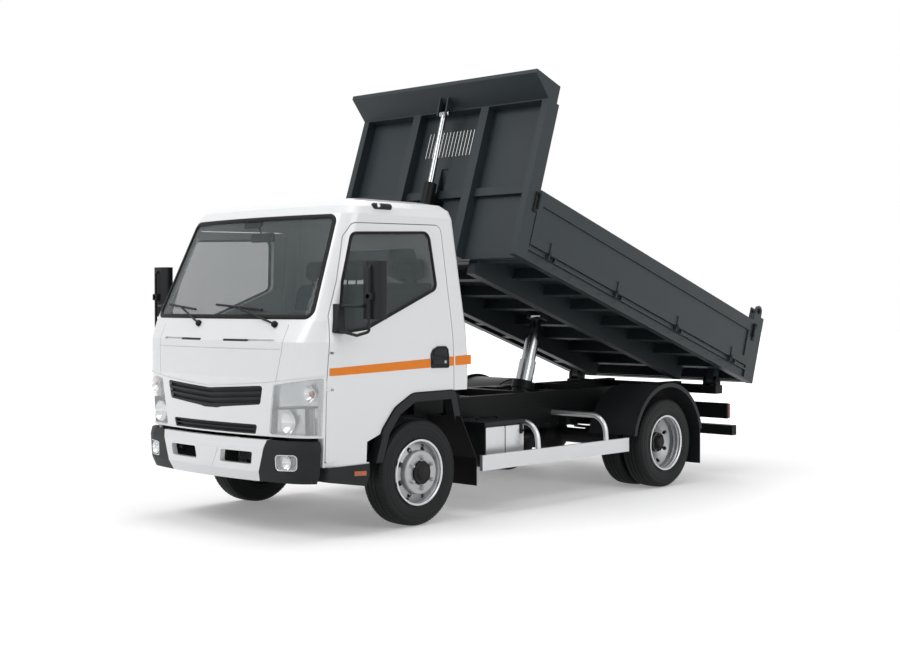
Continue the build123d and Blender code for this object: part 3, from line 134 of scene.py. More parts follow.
def finish(name, colour, rough, metal=0.0, drift=0.06, grain=0.0, grain_scale=400.0, **shader):
    """A surface finish: base colour and roughness through the drift group, grain as a normal."""
    made = bpy.data.materials.new(name)
    made.use_nodes = True
    tree = made.node_tree
    skin = tree.nodes["Principled BSDF"]
    skin.inputs["Metallic"].default_value = metal
    for label, value in shader.items():
        skin.inputs[label.replace("_", " ")].default_value = value
    patch = tree.nodes.new("ShaderNodeGroup")
    patch.node_tree = DRIFT
    patch.inputs["Color"].default_value = (*colour, 1)
    patch.inputs["Roughness"].default_value = rough
    patch.inputs["Amount"].default_value = drift
    tree.links.new(patch.outputs["Color"], skin.inputs["Base Color"])
    tree.links.new(patch.outputs["Roughness"], skin.inputs["Roughness"])
    if grain:
        rub = tree.nodes.new("ShaderNodeGroup")
        rub.node_tree = GRAIN
        rub.inputs["Scale"].default_value = grain_scale
        rub.inputs["Strength"].default_value = grain
        tree.links.new(rub.outputs["Normal"], skin.inputs["Normal"])
    return made


def glass(name, colour, alpha):
    """Tinted pane: thin gloss with part of the light let through."""
    made = bpy.data.materials.new(name)
    made.use_nodes = True
    skin = made.node_tree.nodes["Principled BSDF"]
    skin.inputs["Base Color"].default_value = (*colour, 1)
    skin.inputs["Roughness"].default_value = 0.02
    skin.inputs["Alpha"].default_value = alpha
    skin.inputs["Specular IOR Level"].default_value = 0.35
    return made


WHITE = finish("cab white", (0.80, 0.81, 0.82), 0.28, drift=0.02, Coat_Weight=0.5, Coat_Roughness=0.08)
CHARCOAL = finish("moulded charcoal", (0.011, 0.013, 0.014), 0.5, grain=0.12, Specular_IOR_Level=0.22)
GREY = finish("body slate", (0.022, 0.031, 0.035), 0.42, drift=0.08, Specular_IOR_Level=0.30)
BLACK = finish("chassis black", (0.004, 0.0045, 0.005), 0.45, drift=0.1, Specular_IOR_Level=0.14)
IRON = finish("cast iron", (0.008, 0.008, 0.009), 0.5, grain=0.25, grain_scale=150.0, Specular_IOR_Level=0.2)
RUBBER = finish("tyre rubber", (0.0075, 0.0085, 0.0090), 0.55, grain=0.1, Specular_IOR_Level=0.20)
FLAP = finish("flap rubber", (0.005, 0.005, 0.0055), 0.5, grain=0.1, Specular_IOR_Level=0.16)
SILVER = finish("rim silver", (0.42, 0.43, 0.44), 0.38, metal=0.55, drift=0.05)
ALUMINIUM = finish("guard aluminium", (0.62, 0.63, 0.64), 0.33, metal=0.75, drift=0.06)
CHROME = finish("ram chrome", (0.34, 0.35, 0.36), 0.16, metal=1.0, drift=0.03)
TANK = finish("tank steel", (0.30, 0.31, 0.32), 0.38, metal=0.8)
CLOTH = finish("seat cloth", (0.045, 0.046, 0.048), 0.85, grain=0.4, grain_scale=700.0)
DASH = finish("dash grey", (0.04, 0.042, 0.044), 0.6, grain=0.2)
ORANGE = finish("stripe orange", (0.78, 0.205, 0.0), 0.5, drift=0.02)
RED = finish("lamp red", (0.35, 0.01, 0.008), 0.15, drift=0.02, Coat_Weight=0.6)
AMBER = finish("lamp amber", (0.42, 0.075, 0.004), 0.25, drift=0.02, Coat_Weight=0.6)
BRIGHT = finish("bright steel", (0.60, 0.61, 0.62), 0.25, metal=0.85, drift=0.04)
# Painted shade: a near-black matte for the flat discs that stand for the shade seen through the front rims'
# hand holes.
HOLE_SHADE_PAINT = finish("painted hole shade", (0.004, 0.004, 0.004), 0.9, drift=0.0)
LINING = finish("lamp lining", (0.55, 0.56, 0.57), 0.22, metal=0.75, drift=0.03)
MIRROR = finish("lamp reflector", (0.80, 0.81, 0.82), 0.10, metal=1.0, drift=0.02)
PANE = glass("window glass", (0.10, 0.125, 0.13), alpha=0.30)
CLEAR = glass("lamp glass", (0.80, 0.83, 0.85), alpha=0.22)

SLOT_FINISH = {
    "cab_white": WHITE, "charcoal": CHARCOAL, "body_grey": GREY, "chassis_black": BLACK,
    "iron_dark": IRON, "window_glass": PANE, "lamp_glass": CLEAR, "lamp_amber": AMBER,
    "lamp_red": RED, "tyre": RUBBER, "rim_silver": SILVER, "guard_aluminium": ALUMINIUM,
    "ram_chrome": CHROME, "flap_rubber": FLAP, "seat_cloth": CLOTH, "dash_grey": DASH,
    "tank_steel": TANK,
}


def paint_nodes():
    """Every solid takes the finish of its slot in the record."""
    for row in frame["record"]["subparts"]:
        mesh = NODES[row["node"]].data
        mesh.materials.clear()
        mesh.materials.append(SLOT_FINISH[row["material_slot"]])


paint_nodes()


# Surfaces of the truck that the pieces lie on

CAB_ROWS = np.array((
    # height, nose, half width, corner radius
    (0.480, 1.050, 0.955, 0.270), (0.690, 1.062, 0.965, 0.280), (1.060, 1.080, 0.975, 0.280),
    (1.300, 1.062, 0.972, 0.230), (1.440, 0.997, 0.955, 0.150), (2.160, 0.672, 0.865, 0.150),
    (2.215, 0.625, 0.842, 0.150), (2.255, 0.540, 0.790, 0.150), (2.280, 0.400, 0.660, 0.150)))
BUMPER_ROWS = np.array((
    (0.372, 1.062, 0.925, 0.250), (0.440, 1.092, 0.950, 0.280), (0.600, 1.100, 0.958, 0.280),
    (0.652, 1.088, 0.955, 0.280)))


def rows_at(rows, z):
    """Nose, half width and corner radius at a height, between the rows of a table."""
    return [np.interp(z, rows[:, 0], rows[:, column]) for column in (1, 2, 3)]


def front_x(rows, y, z, proud=0.0):
    """X of the front: a wide arc in plan that ends in a round corner, moved out by proud."""
    nose, half, corner = rows_at(rows, z)
    nose, half, corner = nose + proud, half + proud, corner + proud
    middle = nose - NOSE_ARC
    centre_x = middle + np.sqrt((NOSE_ARC - corner) ** 2 - (half - corner) ** 2)
    reach = NOSE_ARC * (half - corner) / (NOSE_ARC - corner)
    across = np.abs(y)
    arc = middle + np.sqrt(NOSE_ARC ** 2 - np.minimum(across, reach) ** 2)
    round_ = centre_x + np.sqrt(np.maximum(corner ** 2 - (across - half + corner) ** 2, 0.0))
    return np.where(across <= reach, arc, round_) + AXLE_X


def side_y(x, z, proud=0.0):
    """Y of the cab's left side: flat, then turning in round the front corner."""
    nose, half, corner = rows_at(CAB_ROWS, z)
    nose, half, corner = nose + proud, half + proud, corner + proud
    centre_x = nose - NOSE_ARC + np.sqrt((NOSE_ARC - corner) ** 2 - (half - corner) ** 2)
    ahead = np.maximum(x - AXLE_X - centre_x, 0.0)
    return half - corner + np.sqrt(np.maximum(corner ** 2 - ahead ** 2, 0.0))


def on_cab_front(y, z, proud):
    """Point of the cab's front at y and z, moved out by proud."""
    return np.stack((front_x(CAB_ROWS, y, z, proud), y, z), -1)


def on_bumper(y, z, proud):
    """Point of the bumper's front at y and z, moved out by proud."""
    return np.stack((front_x(BUMPER_ROWS, y, z, proud), y, z), -1)


def on_cab_side(x, z, proud):
    """Point of the cab's left side at x and z, moved out by proud."""
    return np.stack((x, side_y(x, z, proud), z), -1)


def on_cab_other_side(x, z, proud):
    """The same point on the cab's right side."""
    return np.stack((x, -side_y(x, z, proud), z), -1)


def on_body(u, y, v):
    """Point of the load body, turned about its hinge from its own level frame to its rest pose."""
    turn, rise = np.cos(TIP_TURN), np.sin(TIP_TURN)
    u, y, v = np.broadcast_arrays(u, y, v)
    x = TIP_PIVOT[0] + u * turn - v * rise
    z = TIP_PIVOT[2] + u * rise + v * turn
    return np.stack((x, y, z), -1)


# Ways of making a surface

def grid_faces(rows, columns, around=True, again=False):
    """Four-sided faces between the points of a grid; around joins the last column to the first,
    again joins the last row to the first."""
    row = np.arange(rows if again else rows - 1)
    column = np.arange(columns if around else columns - 1)
    row, column = np.meshgrid(row, column, indexing="ij")
    after, below = (column + 1) % columns, (row + 1) % rows
    return np.stack((row * columns + column, row * columns + after, below * columns + after,
                     below * columns + column), -1).reshape(-1, 4)


def closed_tube(loops):
    """Rows of a closed loop of points, shut by one flat face at each end."""
    rows, columns = loops.shape[:2]
    caps = [list(range(columns))[::-1], list(range((rows - 1) * columns, rows * columns))]
    return loops.reshape(-1, 3), grid_faces(rows, columns).tolist() + caps


def ring_of(loops):
    """Rows of a closed loop of points, the last row joined to the first, as round a tyre."""
    rows, columns = loops.shape[:2]
    return loops.reshape(-1, 3), grid_faces(rows, columns, again=True).tolist()


def shell_of(outer, inner):
    """Closed thin shell between two open grids of the same size."""
    rows, columns = outer.shape[:2]
    count = rows * columns
    faces = grid_faces(rows, columns, around=False)
    index = np.arange(count).reshape(rows, columns)
    edge = np.concatenate((index[0, :-1], index[:-1, -1], index[-1, :0:-1], index[:0:-1, 0]))
    after = np.roll(edge, -1)
    wall = np.stack((edge, after, after + count, edge + count), -1)
    points = np.concatenate((outer.reshape(-1, 3), inner.reshape(-1, 3)))
    return points, faces.tolist() + (faces[:, ::-1] + count).tolist() + wall.tolist()


def put(name, shapes, paint, body, slot, flat=40, hides=()):
    """Joins shapes into one mesh that rides on a body, with normals outwards and sharp edges kept.
    The slot is None where the record has none for the paint; it is not used."""
    points, faces, start = [], [], 0
    for part_points, part_faces in shapes:
        points.append(part_points)
        faces += [[corner + start for corner in face] for face in part_faces]
        start += len(part_points)
    data = bpy.data.meshes.new(name)
    data.from_pydata(np.concatenate(points).tolist(), [], faces)
    work = bmesh.new()
    work.from_mesh(data)
    bmesh.ops.remove_doubles(work, verts=work.verts, dist=1e-6)
    bmesh.ops.dissolve_degenerate(work, edges=work.edges, dist=1e-7)
    bmesh.ops.recalc_face_normals(work, faces=work.faces)
    work.to_mesh(data)
    work.free()
    data.shade_smooth()
    data.set_sharp_from_angle(angle=np.radians(flat))
    data.materials.append(paint)
    piece = bpy.data.objects.new(name, data)
    bpy.context.collection.objects.link(piece)
    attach(piece, body)
    if hides:
        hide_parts(*hides)
    return piece


def lathe(profile, centre, axis=(0, 1, 0), turns=64, closed=False):
    """Profile of (along, radius) rows turned about an axis through centre; a closed profile is a
    ring, an open one starts and ends at radius 0."""
    along, radius = np.asarray(profile, float).T
    axis = np.asarray(axis, float) / np.linalg.norm(axis)
    aside = np.cross(axis, (0.0, 0.0, 1.0) if abs(axis[2]) < 0.9 else (1.0, 0.0, 0.0))
    aside /= np.linalg.norm(aside)
    up = np.cross(axis, aside)
    turn = np.linspace(0, 2 * np.pi, turns, endpoint=False)
    spoke = np.cos(turn)[:, None] * aside + np.sin(turn)[:, None] * up
    loops = np.asarray(centre) + along[:, None, None] * axis + radius[:, None, None] * spoke
    if closed:
        return ring_of(loops)
    return loops.reshape(-1, 3), grid_faces(len(along), turns).tolist()


def rounded(corners, steps=5):
    """Closed outline with each corner (a, b, radius) turned into an arc."""
    line = []
    for index, (a, b, radius) in enumerate(corners):
        corner = np.array((a, b), float)
        before = np.array(corners[index - 1][:2], float) - corner
        after = np.array(corners[(index + 1) % len(corners)][:2], float) - corner
        if radius <= 0:
            line.append(corner[None])
            continue
        before_way, after_way = before / np.linalg.norm(before), after / np.linalg.norm(after)
        half = np.arccos(np.clip(before_way @ after_way, -1, 1)) / 2
        radius = min(radius, 0.49 * min(np.linalg.norm(before), np.linalg.norm(after)) * np.tan(half))
        away = radius / np.tan(half)
        between = before_way + after_way
        middle = corner + between / np.linalg.norm(between) * radius / np.sin(half)
        first, last = corner + before_way * away - middle, corner + after_way * away - middle
        from_turn = np.arctan2(first[1], first[0])
        sweep = (np.arctan2(last[1], last[0]) - from_turn + np.pi) % (2 * np.pi) - np.pi
        turn = from_turn + sweep * np.linspace(0, 1, steps)
        line.append(middle + radius * np.stack((np.cos(turn), np.sin(turn)), -1))
    return np.concatenate(line)


def rect(a, b, radius):
    """Corners of a rectangle between two limits each way, all with one radius."""
    return ((a[0], b[0], radius), (a[1], b[0], radius), (a[1], b[1], radius), (a[0], b[1], radius))


def finer(outline, longest):
    """The same closed outline with its long runs cut into shorter ones."""
    after = np.roll(outline, -1, 0)
    pieces = []
    for start, end in zip(outline, after):
        count = max(1, int(np.ceil(np.linalg.norm(end - start) / longest)))
        pieces.append(start + (end - start) * np.arange(count)[:, None] / count)
    return np.concatenate(pieces)


def inset(outline, amount):
    """Every point of a closed outline moved inwards along the mean of its two edges' normals."""
    ahead, behind = np.roll(outline, -1, 0) - outline, outline - np.roll(outline, 1, 0)
    ahead /= np.maximum(np.linalg.norm(ahead, axis=1, keepdims=True), 1e-9)
    behind /= np.maximum(np.linalg.norm(behind, axis=1, keepdims=True), 1e-9)
    way = ahead + behind
    way /= np.maximum(np.linalg.norm(way, axis=1, keepdims=True), 1e-9)
    normal = np.stack((-way[:, 1], way[:, 0]), -1)
    area = np.sum(outline[:, 0] * np.roll(outline[:, 1], -1) - np.roll(outline[:, 0], -1) * outline[:, 1])
    stretch = 1 / np.clip(np.sum(way * ahead, 1), 0.5, 1)
    return outline + normal * np.sign(area) * amount * stretch[:, None]


def slab(outline, low, high, soft, where, steps=4):
    """Flat outline raised from low to high, its rim rolled over in quarter circles of radius soft;
    where(a, b, height) puts each point in place."""
    turn = np.linspace(0, np.pi / 2, steps)
    insets = np.concatenate((soft * (1 - np.sin(turn)), soft * (1 - np.cos(turn))))
    heights = np.concatenate((low + soft * (1 - np.cos(turn)), high - soft * (1 - np.sin(turn))))
    loops = [where(*inset(outline, way).T, height) for way, height in zip(insets, heights)]
    return closed_tube(np.stack(loops))


def band(outline, wide, low, high, where):
    """Frame that follows a closed outline: wide inwards from it, from low to high, edges eased."""
    ease = min(wide, high - low) * 0.25
    rows = ((0, low), (0, high - ease), (ease, high), (wide - ease, high), (wide, high - ease), (wide, low))
    loops = [where(*inset(outline, way).T, height) for way, height in rows]
    return ring_of(np.stack(loops))


def pipe(path, radius, sides=12):
    """Round tube along a line of points, its ring carried on without twist."""
    path = np.asarray(path, float)
    way = np.gradient(path, axis=0)
    way /= np.linalg.norm(way, axis=1, keepdims=True)
    aside = np.cross(way[0], (0, 0, 1.0) if abs(way[0][2]) < 0.9 else (1.0, 0, 0))
    frames = []
    for step in way:
        aside = aside - step * (aside @ step)
        aside /= np.linalg.norm(aside)
        frames.append((aside, np.cross(step, aside)))
    frames = np.array(frames)
    turn = np.linspace(0, 2 * np.pi, sides, endpoint=False)
    across, up = np.cos(turn)[None, :, None], np.sin(turn)[None, :, None]
    ring = across * frames[:, None, 0] + up * frames[:, None, 1]
    return closed_tube(path[:, None] + np.broadcast_to(radius, len(path))[:, None, None] * ring)


def bent(corners, radius, steps=7):
    """Line through corner points with each inner corner eased by a curve of three points."""
    corners = [np.array(corner, float) for corner in corners]
    line = [corners[0][None]]
    share = np.linspace(0, 1, steps)[:, None]
    for before, corner, after in zip(corners, corners[1:], corners[2:]):
        back, on = before - corner, after - corner
        start = corner + back / np.linalg.norm(back) * min(radius, np.linalg.norm(back) * 0.49)
        end = corner + on / np.linalg.norm(on) * min(radius, np.linalg.norm(on) * 0.49)
        line.append((1 - share) ** 2 * start + 2 * share * (1 - share) * corner + share ** 2 * end)
    line.append(corners[-1][None])
    return np.concatenate(line)


def flat_on(axis):
    """Puts an outline (a, b) and its height across the X, Y or Z direction."""
    def where(a, b, height):
        a, b, height = np.broadcast_arrays(a, b, height)
        return np.stack({"x": (height, a, b), "y": (a, height, b), "z": (a, b, height)}[axis], -1)
    return where


def box_slab(x, y, z, soft):
    """Rounded block between two limits on each direction."""
    return slab(rounded(rect(x, y, soft), 4), z[0], z[1], soft * 0.8, flat_on("z"), 3)


def body_slab(u, v, y, soft=0.004):
    """Rounded block on the load body between limits along it, up it and across it."""
    outline = rounded(rect(u, v, soft), 3)
    return slab(outline, y[0], y[1], soft * 0.8, lambda a, b, height: on_body(a, height, b), 3)


def bolt_row(start, end, count, axis, radius, high):
    """Low domed bolt heads at even steps along a line."""
    profile = ((0, 0), (0, radius), (high * 0.6, radius), (high, radius * 0.6), (high, 0))
    spots = np.linspace(start, end, count)
    return [lathe(profile, spot, axis, 8) for spot in spots]


# Wheels
# A profile's rows are its place along the axle, outwards from the wheel's middle, and its radius.

FRONT_Y = 0.8645
TWIN_Y = 0.9715
TWIN_PITCH = 0.233
REAR_X = AXLE_X - WHEELBASE
TYRE_WALL = np.array((
    (0.0690, 0.2225), (0.0830, 0.2245), (0.0920, 0.238), (0.0965, 0.252), (0.0955, 0.256), (0.0985, 0.262),
    (0.1005, 0.290), (0.0995, 0.304), (0.1008, 0.307), (0.0995, 0.311), (0.0965, 0.334), (0.0978, 0.338),
    (0.0955, 0.342), (0.0925, 0.356), (0.0895, 0.3590), (0.0865, 0.3600), (0.0790, 0.3690), (0.0700, 0.3728)))
BEAD_RADIUS = 0.2235
TREAD_HALF = 0.066
TREAD_LOW = 0.0005
TREAD_CROWN = 0.6
GROOVES = np.array((-0.037, 0.0, 0.037))
GROOVE_HALF = 0.0042
GROOVE_DEEP = 0.007
SHOULDER_OUT = 0.052
SHOULDER_RADIUS = 0.3595
SHOULDER_CUT = 0.0035

LIP = ((0.0840, 0.2215), (0.0935, 0.2285), (0.0990, 0.2315), (0.1015, 0.2265), (0.1005, 0.2190),
       (0.0950, 0.2140), (0.0840, 0.2150))
DISH_RING = ((0.030, 0.2120), (0.034, 0.2125), (0.036, 0.2060), (0.030, 0.2040))
DISC = ((-0.060, 0.1555), (-0.020, 0.1545), (0.002, 0.1540), (0.011, 0.150), (0.0155, 0.145),
        (0.0160, 0.141), (0.0160, 0.088), (0.013, 0.083), (0.004, 0.0815), (-0.014, 0.0815),
        (-0.014, 0.120), (-0.060, 0.146))
DISC_OUT = 0.098
DISC_THICK = 0.0165
# Flat dark disc painted in each hand hole as the shade seen through it: along the axle, radius.
HOLE_SHADE_DISC = ((0, 0), (0, 0.022), (0.004, 0.021), (0.005, 0.019), (0.005, 0))
HAND_HOLE_RING = 0.182
HAND_HOLE_OUT = 0.0475
FRONT_HUB = ((-0.012, 0), (-0.012, 0.0805), (0.0265, 0.0805), (0.0275, 0.078), (0.0275, 0.066),
             (0.0268, 0.062), (0.0268, 0.050), (0.032, 0.047), (0.036, 0.040), (0.039, 0.022), (0.040, 0))
REAR_HUB = ((-0.10, 0), (-0.10, 0.0815), (0.016, 0.0815), (0.021, 0.078), (0.021, 0.056), (0.040, 0.050),
            (0.050, 0.040), (0.052, 0))
HUB_BOLT = ((0, 0), (0, 0.008), (0.006, 0.008), (0.008, 0))
HUB_BOLT_RING = 0.067
HUB_BOLT_OUT = 0.021
NUT = ((-0.004, 0), (-0.004, 0.0175), (0.003, 0.0175), (0.004, 0.0135), (0.014, 0.0135), (0.019, 0.010),
       (0.021, 0))
STUD = ((0.010, 0), (0.010, 0.0105), (0.022, 0.0095), (0.027, 0.006), (0.028, 0))
NUT_COUNT = 6
FRONT_NUT_RING = 0.109
REAR_NUT_RING = 0.100
REAR_NUT_IN = 0.1165


def sided(profile, side):
    """A profile whose places along the axis point to the left for side 1, to the right for -1."""
    return np.array(profile) * (side, 1)


def about_axle(x, y, turn, ring):
    """Place on a circle about an axle: its radius times the cosine forward and the sine up."""
    return x + ring * np.cos(turn), y, TYRE_Z + ring * np.sin(turn)


def tyre(centre_y, x, count=240):
    """Tyre skin: bead, bulged wall with three low ridges and a tread whose radius falls by the
    square of the way from its middle, turned about the axle. Three ring grooves run round the
    tread, and every third step round has a cut across the shoulders."""
    across = np.linspace(TREAD_HALF, -TREAD_HALF, 34)
    groove = np.min(np.abs(across[:, None] - GROOVES), axis=1) < GROOVE_HALF
    tread_radius = TYRE_Z - TREAD_LOW - TREAD_CROWN * across ** 2 - GROOVE_DEEP * groove
    tread = np.stack((across, tread_radius), -1)
    inside = np.array(((-TREAD_HALF, BEAD_RADIUS), (TREAD_HALF, BEAD_RADIUS)))
    profile = np.concatenate((TYRE_WALL, tread, (TYRE_WALL * (-1, 1))[::-1], inside))
    turn = np.linspace(0, 2 * np.pi, count, endpoint=False)
    radius = np.repeat(profile[:, 1][:, None], count, 1)
    shoulder = (np.abs(profile[:, 0]) > SHOULDER_OUT) & (profile[:, 1] > SHOULDER_RADIUS)
    radius[shoulder] -= SHOULDER_CUT * (np.arange(count) % 3 < 1)
    along = np.repeat(profile[:, 0][:, None], count, 1)
    loops = np.stack((x + radius * np.cos(turn), centre_y + along, TYRE_Z + radius * np.sin(turn)), -1)
    return ring_of(loops)


def rolled_edge(y, x, side):
    """Bright rolled lip of a rim, a closed ring section turned about the axle."""
    return lathe(sided(LIP, side), (x, y, TYRE_Z), turns=96, closed=True)


def wheel_nuts(x, y, side, ring, start):
    """Domed wheel nuts with a collar, each on its stud, set in a circle about the axle."""
    shapes = []
    for turn in start + np.arange(NUT_COUNT) * 2 * np.pi / NUT_COUNT:
        spot = about_axle(x, y, turn, ring)
        shapes.append(lathe(sided(NUT, side), spot, turns=6))
        shapes.append(lathe(sided(STUD, side), spot, turns=12))
    return shapes


def front_wheel(label, side):
    """Tyre, raised disc, lip, nuts, a dark disc painted in each hand hole as the shade seen through it, and
    hub cap of one front wheel.
    """
    body = f"front_{label}_wheel"
    y = side * FRONT_Y
    face = y + side * DISC_OUT
    put(f"tread_front_{label}", [tyre(y, AXLE_X)], RUBBER, body, "tyre", hides=(f"tyre_front_{label}",))
    plate = lathe(sided(DISC, side), (AXLE_X, face, TYRE_Z), turns=96, closed=True)
    put(f"disc_front_{label}", [plate], SILVER, body, "rim_silver", flat=50)
    put(f"lip_front_{label}", [rolled_edge(y, AXLE_X, side)], BRIGHT, body, "rim_silver", flat=50)
    nuts = wheel_nuts(AXLE_X, face + side * DISC_THICK, side, FRONT_NUT_RING, 0.52)
    put(f"nuts_front_{label}", nuts, SILVER, body, "rim_silver", flat=30)
    # Painted shade: a flat dark disc in each hand hole stands for the shade seen through it.
    hole_shades = []
    for turn in np.pi / 8 + np.arange(8) * np.pi / 4:
        spot = about_axle(AXLE_X, y + side * HAND_HOLE_OUT, turn, HAND_HOLE_RING)
        hole_shades.append(lathe(sided(HOLE_SHADE_DISC, side), spot, turns=24))
    put(f"hole_shades_front_{label}", hole_shades, HOLE_SHADE_PAINT, body, "chassis_black")
    hub = lathe(sided(FRONT_HUB, side), (AXLE_X, face, TYRE_Z), turns=64)
    put(f"hub_front_{label}", [hub], IRON, body, "iron_dark", flat=35)


def rear_wheels(label, side):
    """Twin tyres, bright lip, dished ring, nuts and hub flange with its bolts on one side."""
    body = f"rear_{label}_wheels"
    y = side * TWIN_Y
    twins = [tyre(y - side * TWIN_PITCH * step, REAR_X) for step in (0, 1)]
    put(f"treads_rear_{label}", twins, RUBBER, body, "tyre", hides=(f"tyres_rear_{label}",))
    ring = lathe(sided(DISH_RING, side), (REAR_X, y, TYRE_Z), turns=96, closed=True)
    put(f"lip_rear_{label}", [rolled_edge(y, REAR_X, side), ring], BRIGHT, body, "rim_silver", flat=50)
    face = y - side * REAR_NUT_IN
    nuts = wheel_nuts(REAR_X, face + side * 0.002, side, REAR_NUT_RING, 0.3)
    put(f"nuts_rear_{label}", nuts, BRIGHT, body, "rim_silver", flat=30)
    hub = [lathe(sided(REAR_HUB, side), (REAR_X, y, TYRE_Z), turns=64)]
    for turn in np.arange(8) * np.pi / 4:
        spot = about_axle(REAR_X, y + side * HUB_BOLT_OUT, turn, HUB_BOLT_RING)
        hub.append(lathe(sided(HUB_BOLT, side), spot, turns=6))
    put(f"hub_rear_{label}", hub, IRON, body, "iron_dark", flat=35)


for LABEL, SIDE in SIDES:
    front_wheel(LABEL, SIDE)
    rear_wheels(LABEL, SIDE)


# Cab skin: stripe, handles, seals and screen border
# An outline's rows are X or Y, Z and corner radius; the heights of a slab or band are from the skin.

# Ends of the stripe: X, its lower and its upper edge
STRIPE = ((1.185, 1.115, 1.183), (2.545, 1.080, 1.130))
HANDLE = ((1.424, 1.175), (1.430, 1.228), (1.452, 1.250), (1.535, 1.252), (1.585, 1.232), (1.607, 1.200),
          (1.607, 1.100), (1.424, 1.096))
HANDLE_CORNER = 0.012
GRIP = ((1.440, 1.120, .01), (1.592, 1.122, .01), (1.592, 1.158, .01), (1.440, 1.160, .01))
LEVER = ((1.436, 1.170, .01), (1.590, 1.190, .01), (1.572, 1.222, .01), (1.530, 1.238, .01),
         (1.452, 1.236, .01))
LOCK = ((-0.004, 0), (-0.004, 0.011), (0.002, 0.011), (0.003, 0.009), (0.003, 0))
LOCK_X, LOCK_Z = 1.470, 1.140
WINDOW = ((2.475, 1.352, .03), (2.393, 1.700, 0), (2.265, 2.030, .06), (1.525, 2.058, .06),
          (1.493, 1.655, .06), (2.205, 1.380, .12))
SKIRT = ((2.547, 0.508, .001), (2.547, 0.486, .001), (2.206, 0.486, .001), (2.206, 0.634, .001))
STEP_PLATE = ((2.215, 0.402, .004), (2.325, 0.408, .004), (2.325, 0.440, .004), (2.215, 0.434, .004))
STEP_Y = (0.960, 0.967)
SCREEN = ((0.866, 1.448, .06), (0.778, 2.156, .07), (-0.778, 2.156, .07), (-0.866, 1.448, .06))
SCREEN_PATCH = ((-0.10, 2.152, .02), (0.10, 2.152, .02), (0.10, 2.080, .02), (-0.10, 2.080, .02))


def stripe_piece(name, start, end, surface, body):
    """Coloured band between two lines that rise along the truck, laid on the cab's side skin."""
    x = np.linspace(start, end, 40)[:, None]
    share = (x - STRIPE[0][0]) / (STRIPE[1][0] - STRIPE[0][0])
    low = STRIPE[0][1] + share * (STRIPE[1][1] - STRIPE[0][1])
    high = STRIPE[0][2] + share * (STRIPE[1][2] - STRIPE[0][2])
    z = low + (high - low) * np.linspace(0, 1, 6)[None, :]
    x = np.repeat(x, 6, 1)
    put(name, [shell_of(surface(x, z, 0.0016), surface(x, z, -0.0012))], ORANGE, body, None)


def side_pieces(label, side):
    """Stripe, door handle, lock, window seal, door skirt and step reflector on one side of the cab."""
    skin = on_cab_side if side > 0 else on_cab_other_side
    door = f"{label}_door"
    stripe_piece(f"stripe_cab_{label}", 1.190, 1.354, skin, "cab")
    stripe_piece(f"stripe_door_rear_{label}", 1.368, 1.416, skin, door)
    stripe_piece(f"stripe_door_{label}", 1.612, 2.536, skin, door)
    recess = rounded([(x, z, HANDLE_CORNER) for x, z in HANDLE], 4)
    handle = [band(recess, 0.010, -0.002, 0.009, skin), slab(recess, -0.002, 0.003, 0.001, skin, 2),
              slab(rounded(GRIP, 5), 0.001, 0.013, 0.006, skin),
              slab(rounded(LEVER, 5), 0.001, 0.010, 0.005, skin)]
    put(f"handle_{label}", handle, CHARCOAL, door, "charcoal")
    lock = skin(np.array(LOCK_X), np.array(LOCK_Z), 0.013)
    put(f"lock_{label}", [lathe(sided(LOCK, side), lock, turns=24)], SILVER, door, "rim_silver")
    seal = inset(finer(rounded(WINDOW, 6), 0.04), -0.004)
    put(f"window_seal_{label}", [band(seal, 0.020, -0.006, 0.0045, skin)], FLAP, door, "flap_rubber")
    skirt = slab(finer(rounded(SKIRT, 2), 0.03), -0.006, 0.0004, 0.0004, skin, 2)
    put(f"door_skirt_{label}", [skirt], WHITE, door, "cab_white")
    plate = slab(rounded(STEP_PLATE, 4), side * STEP_Y[0], side * STEP_Y[1], 0.002, flat_on("y"), 3)
    put(f"step_reflector_{label}", [plate], AMBER, "cab", "lamp_amber")


def screen_pieces():
    """Black border of the windscreen and the dark patch at its top, laid on the raked front."""
    border = band(finer(rounded(SCREEN, 8), 0.05), 0.030, -0.010, 0.004, on_cab_front)
    put("screen_border", [border], FLAP, "cab", "flap_rubber", flat=60)
    patch = slab(rounded(SCREEN_PATCH, 4), -0.010, -0.006, 0.001, on_cab_front, 2)
    put("screen_top_patch", [patch], FLAP, "cab", "flap_rubber")


for LABEL, SIDE in SIDES:
    side_pieces(LABEL, SIDE)
screen_pieces()


# Lamps in the cab's front
# Outlines are those of the left side: Y, Z and corner radius.

LAMP = ((0.570, 0.686, .01), (0.592, 0.855, .01), (0.622, 1.018, .02), (0.948, 1.068, .02),
        (0.942, 0.686, .02))
LAMP_BARS = (((0.590, 0.848, .002), (0.942, 0.872, .002), (0.942, 0.884, .002), (0.591, 0.860, .002)),
             ((0.838, 0.690, .002), (0.848, 0.690, .002), (0.852, 0.872, .002), (0.842, 0.872, .002)))
# Bowls of the main lamp and the indicator: Y, Z, radius
LAMP_BOWLS = ((0.715, 0.772, 0.074), (0.862, 0.962, 0.056))
BULB = ((0, 0), (0.004, 0.014), (0.016, 0.020), (0.028, 0.016), (0.034, 0.006), (0.035, 0))
BULB_Y, BULB_Z, BULB_DEEP = 0.860, 0.960, 0.050
# Ribs of the lens: limits across, limits up, depth behind the skin, count
LAMP_RIBS = (((0.640, 0.770), (0.884, 1.020), -0.012, 9), ((0.866, 0.930), (0.700, 0.862), -0.014, 6))
LENS_LOW = 0.689
LENS_HIGH = 1.016
LENS_RISE = 0.150
FOG = ((0.652, 0.452, .03), (0.816, 0.458, .03), (0.822, 0.568, .03), (0.648, 0.562, .03))
FOG_BOWL = (0.734, 0.510, 0.044)
FORWARD = (1, 0, 0)


def mirrored(surface, side):
    """The surface as given for side 1, and its image on the truck's right for -1."""
    def where(a, b, height):
        return surface(side * a, b, height)
    return where


